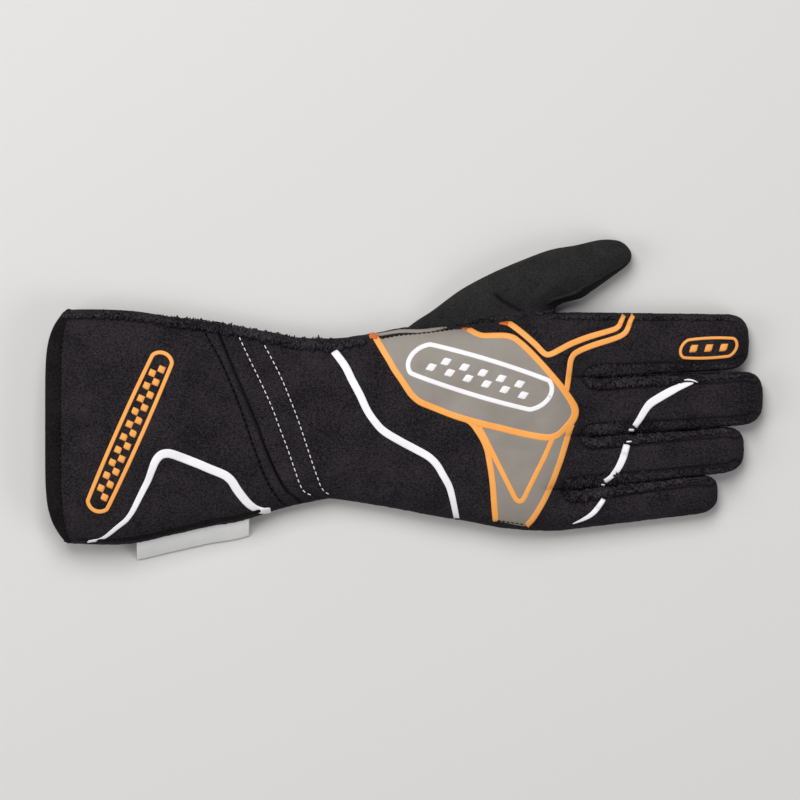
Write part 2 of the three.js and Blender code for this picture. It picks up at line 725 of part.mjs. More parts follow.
const veeTrimLine = [
  [0.582, -0.1], [0.635, -0.37], [0.696, -0.675], [0.711, -0.735], [0.726, -0.738],
  [0.772, -0.537], [0.835, -0.2],
];
const upperForkLine = [
  [0.69, 0.89], [0.768, 0.747], [0.802, 0.651], [0.825, 0.625], [0.894, 0.687],
  [1.027, 0.81], [1.085, 0.855], [1.11, 0.91],
];
const lowerForkLine = [
  [0.912, 0.37], [0.918, 0.5], [0.958, 0.644], [1.065, 0.75], [1.13, 0.825], [1.148, 0.9],
];

// Finger stripes: the finger's number, the share along it and the share across it
const middleStripeLine = [
  [1, 0.578, 0.77], [1, 0.4, 0.27], [1, 0.343, 0.11], [1, 0.284, -0.38], [1, 0.24, -0.82],
];
const ringStripeLine = [[2, 0.303, 0.74], [2, 0.253, -0.11], [2, 0.21, -0.49], [2, 0.165, -0.8]];
const littleStripeLine = [
  [3, 0.259, 0.3], [3, 0.218, -0.13], [3, 0.164, -0.5], [3, 0.104, -0.66], [3, 0.07, -0.7],
];

const stripeStep = 5;
const panelStep = 8;
const panelReach = 0.75; // the knuckle panel's length as a share of the hand's
const panelColumns = 8;
const sidePanelReach = 0.42; // the side panel's length as a share of the hand's
const sidePanelColumns = 7;
const labelSetback = 0.68; // the label's first corner before the wrist, as a share of the cuff
const labelRows = 6;
const labelColumns = 3;
const labelDroop = 1.5; // power by which the label bends down to the table
const overPanel = printGap + panelHeight + trimGap;

const glove = new THREE.Group();
glove.name = 'karting_glove';

/** Adds one named piece in its material. */
function addPiece(name, geometry, material) {
  geometry.computeVertexNormals();
  const mesh = new THREE.Mesh(geometry, material);
  mesh.name = name;
  glove.add(mesh);
}

/** Cloth material of a colour. */
function cloth(color, roughness = 0.95) {
  return new THREE.MeshStandardMaterial({ color, roughness, metalness: 0 });
}

const blackKnit = cloth('#231f21');
const blackBand = cloth('#1d1a1c');
const greySuede = cloth('#2e2e2f', 1);
const greyPrint = cloth('#908c88', 0.6);
const orangePrint = cloth('#fda852', 0.55);
const whitePrint = cloth('#f0ecee', 0.6);
const whiteTape = cloth('#f2f2ef', 0.8);

/** Adds the gauntlet's two halves and the hem round its mouth. */
function addGauntlet() {
  addPiece('gauntlet_back', gauntletSheet(1).thicken(knitWall), blackKnit);
  addPiece('gauntlet_under', gauntletSheet(-1).thicken(knitWall), blackKnit);
  addPiece('cuff_hem', hemSheet().thicken(hemWall), blackBand);
}

/** Adds back, palm and thumb, with the thumb's root set into the hand's side. */
function addHand() {
  const cutter = thumbSheet(pieceGap);
  const root = toGeometry(cutter.points, cutter.faces);
  addPiece('hand_back', cutBy(handSheet(1).thicken(knitWall), root), blackKnit);
  addPiece('palm', cutBy(handSheet(-1).thicken(knitWall), root), blackKnit);
  addPiece('thumb', thumbSheet().thicken(suedeWall), greySuede);
}

/** Adds the strips between neighbouring fingers. */
function addSideStrips() {
  for (let index = 0; index + 1 < fingers.length; index += 1) {
    const name = `side_strip_${fingers[index].name}_${fingers[index + 1].name}`;
    addPiece(name, sideStrip(index), blackBand);
  }
}

/** Adds a printed stripe along a line of shares. */
function addStripe(name, base, line, place, width, lift, material) {
  const rows = stripeRows(line.map(place), width, stripeStep);
  addPiece(name, printedPlate(base, rows, lift, printHeight), material);
}

/** Adds the prints: two grey panels with their trims, the orange fork and the white stripes. */
function addPrints() {
  const cuff = gauntletSheet(1);
  const hand = handSheet(1);
  const panelCount = Math.round((panelReach * handLength) / panelStep);
  const panel = panelRows(
    panelTopLine.map(onHand), panelBottomLine.map(onHand), panelCount, panelColumns);
  addPiece('knuckle_panel', printedPlate(hand, panel, printGap, panelHeight), greyPrint);
  const sideCount = Math.round((sidePanelReach * handLength) / panelStep);
  const side = panelRows(
    sideTopLine.map(onHand), sideBottomLine.map(onHand), sideCount, sidePanelColumns);
  addPiece('side_panel', printedPlate(hand, side, printGap, panelHeight), greyPrint);
  const knuckleTrimLine = [...panelBottomLine, ...[...panelTopLine].reverse().slice(0, -2)];
  addStripe('knuckle_trim', hand, knuckleTrimLine, onHand, trimWidth, overPanel, orangePrint);
  addStripe('side_trim', hand, sideTrimLine, onHand, trimWidth, overPanel, orangePrint);
  addStripe('side_trim_vee', hand, veeTrimLine, onHand, trimWidth, overPanel, orangePrint);
  addStripe('fork_trim_upper', hand, upperForkLine, onHand, trimWidth, printGap, orangePrint);
  addStripe('fork_trim_lower', hand, lowerForkLine, onHand, trimWidth, printGap, orangePrint);
  addStripe('cuff_stripe', cuff, cuffStripeLine, onCuff, cuffStripeWidth, printGap, whitePrint);
  addStripe('wrist_stripe', hand, wristStripeLine, onHand, wristStripeWidth, printGap, whitePrint);
  const stripes = { middle: middleStripeLine, ring: ringStripeLine, little: littleStripeLine };
  for (const [finger, line] of Object.entries(stripes)) {
    addStripe(`${finger}_stripe`, hand, line, onFinger, fingerStripeWidth, printGap, whitePrint);
  }
}

/** Adds the bare white label that hangs out of the cuff's little-finger side seam. */
function addLabel() {
  const sheet = new Sheet();
  const inner = [];
  const start = -labelSetback * cuffLength;
  const rows = [];
  for (let i = 0; i <= labelRows; i += 1) {
    const row = [];
    for (let j = 0; j <= labelColumns; j += 1) {
      const x = start + (labelLength * i) / labelRows;
      const share = j / labelColumns;
      const out = labelReach * share;
      const seam = sideShare * bodyAt(x).crown;
      const z = THREE.MathUtils.lerp(seam, 2 * labelWall, Math.pow(share, labelDroop));
      const point = new THREE.Vector3(x, bodySide(x, -1) - labelGap - out, z + labelWall / 2);
      const index = sheet.add(point);
      inner[index] = point.clone().setZ(z - labelWall / 2);
      row.push(index);
    }
    rows.push(row);
  }
  sheet.addGrid(rows);
  addPiece('side_label', sheet.closeWith(inner), whiteTape);
}

addGauntlet();
addHand();
addSideStrips();
addPrints();
addLabel();

export default glove;
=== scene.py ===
"""Karting glove for the right hand, lying on its palm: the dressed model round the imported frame.

Lengths are in millimetres up to the moment a mesh is filled, where they turn to metres. +X runs
from the wrist to the fingertips, +Y to the thumb side and +Z up. A place across the body is
called t: 1 on the thumb side and -1 on the little-finger side.
"""

import logging
import math
from dataclasses import dataclass
from enum import Enum

import bpy
import mathutils
import numpy as np
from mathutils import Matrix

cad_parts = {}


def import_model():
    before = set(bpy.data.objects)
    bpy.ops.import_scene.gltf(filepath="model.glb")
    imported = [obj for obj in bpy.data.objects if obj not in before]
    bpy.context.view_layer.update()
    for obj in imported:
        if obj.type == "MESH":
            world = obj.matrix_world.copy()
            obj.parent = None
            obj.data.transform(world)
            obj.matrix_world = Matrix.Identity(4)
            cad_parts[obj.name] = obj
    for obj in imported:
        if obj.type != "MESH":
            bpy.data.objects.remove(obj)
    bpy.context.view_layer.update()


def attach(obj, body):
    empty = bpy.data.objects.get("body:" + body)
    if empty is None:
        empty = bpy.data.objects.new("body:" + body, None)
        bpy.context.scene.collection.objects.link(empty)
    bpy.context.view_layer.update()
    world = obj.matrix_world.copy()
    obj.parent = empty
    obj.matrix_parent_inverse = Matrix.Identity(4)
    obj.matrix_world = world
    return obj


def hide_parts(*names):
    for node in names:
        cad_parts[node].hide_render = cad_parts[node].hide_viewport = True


LOG = logging.getLogger("karting_glove")
METRE = 0.001
PHOTO_PIXEL = 0.481
PHOTO_WRIST = (330.0, 418.0)
PHOTO_SIDE = 800.0
CAMERA_HEIGHT = 6000.0
BACK_HEIGHT = 19.0
Rows = tuple[tuple[float, ...], ...]


def from_photo(pixels: Rows) -> np.ndarray:
    """Turn places in the photograph's 800 x 800 frame into plan places on the back.

    Formula: the wrist's pixel is the origin, one pixel is PHOTO_PIXEL long on the floor and rows
    run down. The back stands nearer to the camera, which spreads it from the picture's middle
    by a share equal to its height over the camera's.

    Args:
        pixels: Rows of column and row numbers.

    Returns:
        An (n, 2) array of X and Y in millimetres.
    """
    middle = PHOTO_SIDE / 2
    places = middle + (np.asarray(pixels, dtype=float) - middle) * (1 - BACK_HEIGHT / CAMERA_HEIGHT)
    return np.column_stack([(places[:, 0] - PHOTO_WRIST[0]) * PHOTO_PIXEL,
                            (PHOTO_WRIST[1] - places[:, 1]) * PHOTO_PIXEL])


def smooth_step(value: np.ndarray, start: float, end: float) -> np.ndarray:
    """Rise from 0 at start to 1 at end along 3s^2 - 2s^3.

    Args:
        value: Places along the rise.
        start: Where the rise begins.
        end: Where it is complete.

    Returns:
        The share risen at each place.
    """
    share = np.clip((value - start) / (end - start), 0.0, 1.0)
    return share * share * (3.0 - 2.0 * share)


def table_curve(table: Rows, column: int, at: np.ndarray) -> np.ndarray:
    """Read a column of a table along a smooth curve through its rows.

    Formula: cubic Hermite between rows, with each slope taken over the rows on both sides.

    Args:
        table: Rows whose first column is the place.
        column: Which column to read.
        at: Places to read at.

    Returns:
        The column's values.
    """
    rows = np.asarray(table, dtype=float)
    place, value = rows[:, 0], rows[:, column]
    before = np.maximum(np.arange(len(place)) - 1, 0)
    after = np.minimum(np.arange(len(place)) + 1, len(place) - 1)
    slope = (value[after] - value[before]) / (place[after] - place[before])
    at = np.clip(at, place[0], place[-1])
    row = np.clip(np.searchsorted(place, at, side="right") - 1, 0, len(place) - 2)
    span = place[row + 1] - place[row]
    share = (at - place[row]) / span
    rise = value[row + 1] - value[row]
    start, end = slope[row] * span, slope[row + 1] * span
    return value[row] + share * (start + share * (3 * rise - 2 * start - end
                                                  + share * (start + end - 2 * rise)))


def waves(x: np.ndarray, y: np.ndarray, size: float, seed: int, count: int = 14) -> np.ndarray:
    """Soft uneven field of waves with wavelengths round one size.

    Formula: mean of count sine waves of seeded direction, length and phase, scaled to about 1.

    Args:
        x: X of the places.
        y: Y of the places.
        size: Middle wavelength in millimetres.
        seed: Seed that fixes the waves.
        count: How many waves are added.

    Returns:
        The field's value at each place, mostly within -1 and 1.
    """
    maker = np.random.default_rng(seed)
    angle = maker.uniform(0.0, 2.0 * math.pi, count)
    length = size * maker.uniform(0.7, 1.6, count)
    phase = maker.uniform(0.0, 2.0 * math.pi, count)
    total = np.zeros(np.broadcast(x, y).shape)
    for turn, wave, start in zip(angle, length, phase):
        total += np.sin((x * math.cos(turn) + y * math.sin(turn)) * 2 * math.pi / wave + start)
    return total / math.sqrt(count)


def groove(distance: np.ndarray, width: float) -> np.ndarray:
    """Bell of height 1 across a line: exp of minus the squared distance over the squared width.

    Args:
        distance: Distances from the line.
        width: Half width at which the bell is down to about a third.

    Returns:
        The bell's height at each distance.
    """
    return np.exp(-np.square(distance / width))


@dataclass(frozen=True)
class Body:
    """Form of the whole glove: its solids' sizes and section tables.

    Only the fingertips differ. They are up to 0.8 mm wider and blunter here, as in the photo.
    """

    gauntlet_length: float = 100.0
    wrist_length: float = 36.4
    cuff_width: float = 112.6
    cuff_shift: float = -4.1
    wrist_width: float = 76.4
    mouth_height: float = 25.0
    wrist_height: float = 18.0
    seam_slant: float = 18.5
    hem_band: float = 7.2
    mouth_corner: float = 9.0
    hand_length: float = 126.5
    knuckle_width: float = 104.4
    knuckle_shift: float = -1.7
    knuckle_height: float = 21.0
    middle_length: float = 82.0
    finger_height: float = 15.5
    tip_round: float = 12.0
    tip_power: float = 2.9
    knuckle_blend: float = 24.0
    slot_width: float = 1.0
    # height of the fingers' inner rims over the middle of the side seam
    rim_lift: float = 2.4
    # shares by which the rims and the crown come down towards the tip
    rim_fall: float = 0.8
    finger_fall: float = 0.12
    side_share: float = 0.4
    crown_power: float = 2.4
    sole_corner: float = 0.38
    cuff_sections: Rows = (
        (0.0, 0.92, 0.91, 1.0), (0.12, 1.0, 0.99, 0.95), (0.3, 0.95, 0.985, 0.82),
        (0.44, 0.75, 0.8, 0.64), (0.58, 0.58, 0.61, 0.42), (0.68, 0.41, 0.505, 0.26),
        (0.82, 0.17, 0.24, 0.09), (0.88, 0.04, 0.145, 0.04), (1.0, 0.0, 0.0, 0.0))
    hand_sections: Rows = (
        (0.0, 0.0, 0.0, 0.0), (0.06, 0.04, 0.07, 0.06), (0.165, 0.18, 0.2, 0.25),
        (0.285, 0.41, 0.37, 0.52), (0.4, 0.41, 0.55, 0.75), (0.53, 0.43, 0.72, 0.92),
        (0.65, 0.66, 0.905, 1.0), (0.8, 0.945, 1.0, 0.98), (0.9, 1.0, 0.98, 0.85),
        (1.0, 1.0, 0.965, 0.7))
    # length, base width, tip width, side of the tip and height, as shares
    fingers: Rows = (
        (0.912, 0.3, 0.248, 0.366, 1.0), (1.0, 0.272, 0.249, 0.112, 1.03),
        (0.951, 0.245, 0.212, -0.124, 0.98), (0.877, 0.183, 0.176, -0.324, 0.9))
    crotch_setback: tuple[float, ...] = (0.004, 0.0, 0.012, 0.08, 0.115)
    valley_bend: float = 2.9
    valley_tip_bend: float = 1.3
    valley_reach: float = 8.0
    far_away: float = 99.0
    # along, across, length, width, turn in degrees and depth
    folds: Rows = (
        (-0.8, 0.35, 0.5, 0.13, 80, 0.07), (-0.55, -0.4, 0.45, 0.12, 20, 0.06),
        (-0.1, 0.1, 0.42, 0.13, 70, 0.08), (0.5, 0.3, 0.4, 0.14, 30, 0.06))

    @property
    def cuff_length(self) -> float:
        """Length from the mouth to the narrowest line of the wrist."""
        return self.gauntlet_length + self.wrist_length

    def section(self, x: np.ndarray) -> tuple[np.ndarray, np.ndarray, np.ndarray]:
        """Both side edges and the crown's height at places along X.

        Formula: the wrist's size plus the table's share of the way to the cuff's or knuckles'.

        Args:
            x: Places along X.

        Returns:
            Y of the thumb side, Y of the little-finger side and height of the crown.
        """
        half = self.wrist_width / 2
        in_cuff = x < 0
        cuff_at, hand_at = 1 + x / self.cuff_length, x / self.hand_length

        def blend(column: int, cuff: float, hand: float) -> np.ndarray:
            """A column's share of the way from the wrist's size to the cuff's or the knuckles'."""
            return np.where(in_cuff, cuff * table_curve(self.cuff_sections, column, cuff_at),
                            hand * table_curve(self.hand_sections, column, hand_at))

        thumb = half + blend(1, self.cuff_width / 2 + self.cuff_shift - half,
                             self.knuckle_width / 2 + self.knuckle_shift - half)
        little = -half - blend(2, self.cuff_width / 2 - self.cuff_shift - half,
                               self.knuckle_width / 2 - self.knuckle_shift - half)
        crown = self.wrist_height + blend(3, self.mouth_height - self.wrist_height,
                                          self.knuckle_height - self.wrist_height)
        return thumb, little, crown

    def side(self, x: np.ndarray, t: np.ndarray) -> np.ndarray:
        """Y at places along X and shares t across the body."""
        thumb, little, _ = self.section(x)
        return little + (thumb - little) * (1 + t) / 2

    def across(self, x: np.ndarray, y: np.ndarray) -> np.ndarray:
        """Share t across the body of plan places."""
        thumb, little, _ = self.section(x)
        return np.clip(2 * (y - little) / (thumb - little) - 1, -1, 1)

    def crown_share(self, t: np.ndarray) -> np.ndarray:
        """Rounded crown across a section: the power root of 1 minus |t| to the crown power."""
        rest = np.maximum(0, 1 - np.abs(t) ** self.crown_power)
        return rest ** (1 / self.crown_power)

    def sole_share(self, t: np.ndarray, corner: float) -> np.ndarray:
        """Flat sole whose last corner share of the half width rises along a quarter circle."""
        rise = np.maximum(0, (np.abs(t) - (1 - corner)) / corner)
        return np.sqrt(np.maximum(0, 1 - rise * rise))

    def fold_depth(self, x: np.ndarray, t: np.ndarray) -> np.ndarray:
        """Depth of the soft folds: long bells, one for each row of the folds' table.

        Args:
            x: Places along X.
            t: Shares across the body.

        Returns:
            The depth under the smooth crown.
        """
        depth = np.zeros(np.broadcast(x, t).shape)
        for along, across, length, width, degrees, deep in self.folds:
            centre = along * (self.cuff_length if along < 0 else self.hand_length)
            dx, dy = x - centre, (t - across) * self.wrist_width / 2
            turn = math.radians(degrees)
            run = (dx * math.cos(turn) + dy * math.sin(turn)) / (length * self.wrist_width)
            off = (dy * math.cos(turn) - dx * math.sin(turn)) / (width * self.wrist_width)
            depth += deep * self.wrist_height * np.exp(-4 * run * run - 4 * off * off)
        return depth

    def back_height(self, x: np.ndarray, t: np.ndarray) -> np.ndarray:
        """Height of the back away from the fingers: side seam plus the crown above it.

        Args:
            x: Places along X.
            t: Shares across the body.

        Returns:
            The heights.
        """
        crown = self.section(x)[2]
        seam = self.side_share * crown
        return seam + (crown - self.fold_depth(x, t) - seam) * self.crown_share(t)

    def under_height(self, x: np.ndarray, t: np.ndarray) -> np.ndarray:
        """Height of the underside away from the fingers: flat, rising to the side seams."""
        seam = self.side_share * self.section(x)[2]
        return seam * (1 - self.sole_share(t, self.sole_corner / 2))

    def gauntlet_seam(self, t: np.ndarray) -> np.ndarray:
        """X of the gauntlet seam, a straight slant across the body."""
        return -self.wrist_length - self.seam_slant * t

    def mouth_edge(self, t: np.ndarray) -> np.ndarray:
        """X of the mouth's edge, whose sides lie behind its middle by a sixth power."""
        return -self.cuff_length + self.mouth_corner * np.abs(t) ** 6

    def hem_width(self, t: np.ndarray) -> np.ndarray:
        """Width of the hem's band: its stitched edge runs straighter than the mouth's edge."""
        return self.hem_band - 0.5 * self.mouth_corner * np.abs(t) ** 6

    def crotch(self, edge: int) -> tuple[float, float]:
        """Plan place where two fingers part.

        Args:
            edge: Number of the finger edge, from 0 on the thumb side to 4.

        Returns:
            X and Y of the place.
        """
        x = self.hand_length * (1 - self.crotch_setback[edge])
        thumb, little, _ = self.section(np.array(x))
        share = sum(row[1] for row in self.fingers[:edge])
        return x, float(thumb + (little - thumb) * share)

    def valley_line(self, index: int) -> np.ndarray:
        """Plan line of the seam round a slot: down one finger's edge and up the next one's.

        Args:
            index: Number of the finger on the thumb side.

        Returns:
            An (n, 2) array of plan places.
        """
        share = np.linspace(0.95, 0.05, 24)
        bend = self.valley_bend - (self.valley_bend - self.valley_tip_bend) * share ** 0.8
        offset = np.column_stack([0 * share, bend])
        upper = np.column_stack(self.finger_edge(index, -1, share)) + offset
        lower = np.column_stack(self.finger_edge(index + 1, 1, share)) - offset
        turn = np.linspace(0.15, math.pi - 0.15, 9)
        centre = np.array(self.crotch(index + 1)) + np.array([1.0, 0.0])
        arc = centre + self.valley_bend * np.column_stack([-np.sin(turn), np.cos(turn)])
        return np.vstack([upper, arc, lower[::-1]])

    def valley_distance(self, x: np.ndarray, y: np.ndarray) -> np.ndarray:
        """Distance of places from the nearest seam round a slot between fingers.

        Formula: the least distance from close places along the seams' lines. Places on the cuff,
        which no such seam comes near, count as far away.

        Args:
            x: X of the places.
            y: Y of the places.

        Returns:
            The distances.
        """
        x, y = np.broadcast_arrays(x, y)
        line = np.vstack([spline(self.valley_line(index), 0.8) for index in range(len(self.fingers) - 1)])
        near = x > line[:, 0].min() - self.valley_reach
        near_x, near_y = x[near], y[near]
        least = np.full(near_x.shape, self.far_away)
        for place in line:
            least = np.minimum(least, np.hypot(near_x - place[0], near_y - place[1]))
        distance = np.full(x.shape, self.far_away)
        distance[near] = least
        return distance

    def hand_edge(self, edge: int, share: np.ndarray) -> tuple[np.ndarray, np.ndarray]:
        """A finger edge's line over the hand, from the gauntlet seam (0) to its crotch (1).

        Formula: X runs evenly, and t blends from an even split at the seam to the crotch's t.

        Args:
            edge: Number of the finger edge.
            share: Shares of the way.

        Returns:
            X and Y along the line.
        """
        seam_t = 1 - edge / 2
        crotch_x, crotch_y = self.crotch(edge)
        start = float(self.gauntlet_seam(np.array(seam_t)))
        x = start + (crotch_x - start) * share
        crotch_t = float(self.across(np.array(crotch_x), np.array(crotch_y)))
        return x, self.side(x, seam_t + (crotch_t - seam_t) * share)

    def tip_share(self, distance: np.ndarray, power: float) -> np.ndarray:
        """Share of full size at a distance from a fingertip: a power curve over the rounding."""
        into = np.clip(1 - distance / self.tip_round, 0, 1)
        return np.maximum(0, 1 - into ** power) ** (1 / power)

    def finger_edge(self, index: int, side: int, share: np.ndarray) -> tuple[np.ndarray, np.ndarray]:
        """One plan edge of a finger from its base (0) to its tip (1).

        Formula: centre line plus or minus a half width that blends from base to tip, less half
        the slot between neighbours, times the tip's rounding.

        Args:
            index: Number of the finger, 0 for the index finger.
            side: 1 for the edge that faces the thumb, -1 for the other.
            share: Shares of the finger's length.

        Returns:
            X and Y along the edge.
        """
        length, _, tip_width, tip_side, _ = self.fingers[index]
        upper, lower = self.crotch(index), self.crotch(index + 1)
        inner = index > 0 if side > 0 else index < len(self.fingers) - 1
        slot = self.slot_width / 2 * np.minimum(1, share / 0.03) if inner else 0.0
        base = (upper[1] - lower[1]) / 2
        middle = (upper[1] + lower[1]) / 2
        half = base + (tip_width * self.knuckle_width / 2 - base) * share
        centre = middle + (self.knuckle_shift + tip_side * self.knuckle_width - middle) * share
        start = upper[0] if side > 0 else lower[0]
        full = length * self.middle_length
        tip = (upper[0] + lower[0]) / 2 + full
        rounding = self.tip_share((1 - share) * full, self.tip_power)
        return start + (tip - start) * share, centre + side * (half - slot) * rounding

    def finger_height_at(self, index: int, share: np.ndarray, t: np.ndarray, up: int) -> np.ndarray:
        """Height of a finger's back or front.

        Formula: the rim at the side seam, and from there the crown up or the flat sole down,
        both shrinking to the rim along a circle at the tip.

        Args:
            index: Number of the finger.
            share: Shares of the finger's length.
            t: Shares across it.
            up: 1 for the back and -1 for the front.

        Returns:
            The heights.
        """
        length, _, _, _, height = self.fingers[index]
        crown = self.finger_height * height * (1 - self.finger_fall * share)
        upper_lift = self.rim_lift if index > 0 else 0.0
        lower_lift = self.rim_lift if index < len(self.fingers) - 1 else 0.0
        taper = 1 - self.rim_fall * np.minimum(share, 1.0) ** 2
        rim = self.side_share * self.finger_height + up * taper * (
            lower_lift + (upper_lift - lower_lift) * (1 + t) / 2)
        rounding = self.tip_share((1 - share) * length * self.middle_length, 2.0)
        if up > 0:
            return rim + (crown - rim) * self.crown_share(t) * rounding
        return rim * (1 - self.sole_share(t, self.sole_corner) * rounding)

    def strip_point(self, index: int, along: np.ndarray, t: np.ndarray, up: int) -> np.ndarray:
        """Points of one finger's strip, from the gauntlet seam (0) over the crotch (1) to the tip (2).

        Formula: in plan between the strip's two edge lines; in height the body's crown, which
        turns into the finger's own one over the last stretch before the crotch.

        Args:
            index: Number of the finger.
            along: Places along the strip, from 0 to 2.
            t: Shares across the strip.
            up: 1 for the back and -1 for the palm.

        Returns:
            An array of X, Y and Z in the last axis.
        """
        along, t = np.broadcast_arrays(along, t)
        in_hand = np.minimum(along, 1.0)
        on_finger = np.maximum(along - 1.0, 0.0)
        past = along > 1.0
        edges = []
        for edge, side in ((index, 1), (index + 1, -1)):
            hand_x, hand_y = self.hand_edge(edge, in_hand)
            finger_x, finger_y = self.finger_edge(index, side, on_finger)
            edges.append((np.where(past, finger_x, hand_x), np.where(past, finger_y, hand_y)))
        upper, lower = edges
        mix = (1 + t) / 2
        x = lower[0] + (upper[0] - lower[0]) * mix
        y = lower[1] + (upper[1] - lower[1]) * mix
        crotch = self.crotch(index + 1)[0] + (self.crotch(index)[0] - self.crotch(index + 1)[0]) * mix
        blend = np.where(past, 1.0, smooth_step(x - crotch, -self.knuckle_blend, 0.0) ** 2)
        body_t = self.across(x, y)
        hand_z = self.back_height(x, body_t) if up > 0 else self.under_height(x, body_t)
        split = self.finger_height_at(index, on_finger, t, up)
        return np.stack([x, y, hand_z + (split - hand_z) * blend], axis=-1)

    def find_on_strip(self, index: int, x: np.ndarray, y: np.ndarray) -> tuple[np.ndarray, np.ndarray]:
        """Place along and across a strip of plan places.

        Formula: X gives the place along for a guessed t, Y then gives a better t, ten times over.

        Args:
            index: Number of the finger.
            x: X of the places.
            y: Y of the places.

        Returns:
            Places along the strip and shares across it.
        """
        t = np.zeros_like(x)
        along = np.zeros_like(x)
        starts = [float(self.gauntlet_seam(np.array(1 - edge / 2))) for edge in (index, index + 1)]
        bases = [self.crotch(edge)[0] for edge in (index, index + 1)]
        tip = sum(bases) / 2 + self.fingers[index][0] * self.middle_length
        for _ in range(10):
            mix = (1 + t) / 2
            start = starts[1] + (starts[0] - starts[1]) * mix
            base = bases[1] + (bases[0] - bases[1]) * mix
            in_hand = (x - start) / (base - start)
            on_finger = (x - base) / (tip - base)
            along = np.clip(np.where(x < base, in_hand, 1 + on_finger), 0.0, 2.0)
            upper = self.strip_point(index, along, np.ones_like(t), 1)[..., 1]
            lower = self.strip_point(index, along, -np.ones_like(t), 1)[..., 1]
            t = np.clip(2 * (y - lower) / np.maximum(upper - lower, 1e-6) - 1, -1.0, 1.0)
        return along, t

    def back_at(self, x: np.ndarray, y: np.ndarray) -> np.ndarray:
        """Height of the whole back over plan places, cuff and fingers included.

        Args:
            x: X of the places.
            y: Y of the places.

        Returns:
            The heights.
        """
        body_t = self.across(x, y)
        height = self.back_height(x, body_t)
        best = np.full(x.shape, np.inf)
        on_hand = x > self.gauntlet_seam(body_t)
        for index in range(len(self.fingers)):
            along, t = self.find_on_strip(index, x, y)
            point = self.strip_point(index, along, t, 1)
            miss = np.abs(point[..., 1] - y)
            nearer = on_hand & (miss < best)
            height = np.where(nearer, point[..., 2], height)
            best = np.where(nearer, miss, best)
        return height


# Rows sewn beside the gauntlet seam: share across from the thumb side (-1) to the other (1), and
# the distance ahead of the seam's straight line in millimetres.
SEAM_FOLD: Rows = ((-1.0, -0.3), (-0.84, -0.1), (-0.42, 0.9), (0.0, 1.2), (0.25, 0.4), (0.6, -0.2),
                   (0.83, 0.8), (0.93, 3.2), (1.0, 4.5))
BLACK_ROW: Rows = ((-1.0, -8.0), (-0.88, -7.0), (-0.62, -4.4), (-0.3, -3.4), (0.0, -3.9),
                   (0.3, -5.0), (0.67, -5.8), (0.88, -4.8), (1.0, -3.0))
WHITE_ROWS: tuple[Rows, ...] = (
    ((-1.0, 9.0), (-0.78, 9.9), (-0.45, 11.3), (-0.15, 11.6), (0.08, 10.9), (0.33, 10.1),
     (0.6, 8.7), (0.77, 7.8), (0.87, 8.2), (0.93, 10.6), (1.0, 15.0)),
    ((-1.0, 19.4), (-0.74, 21.3), (-0.5, 22.3), (-0.2, 22.0), (0.06, 21.0), (0.43, 18.8),
     (0.73, 17.1), (0.86, 16.6), (0.94, 17.8), (1.0, 22.5)),
)


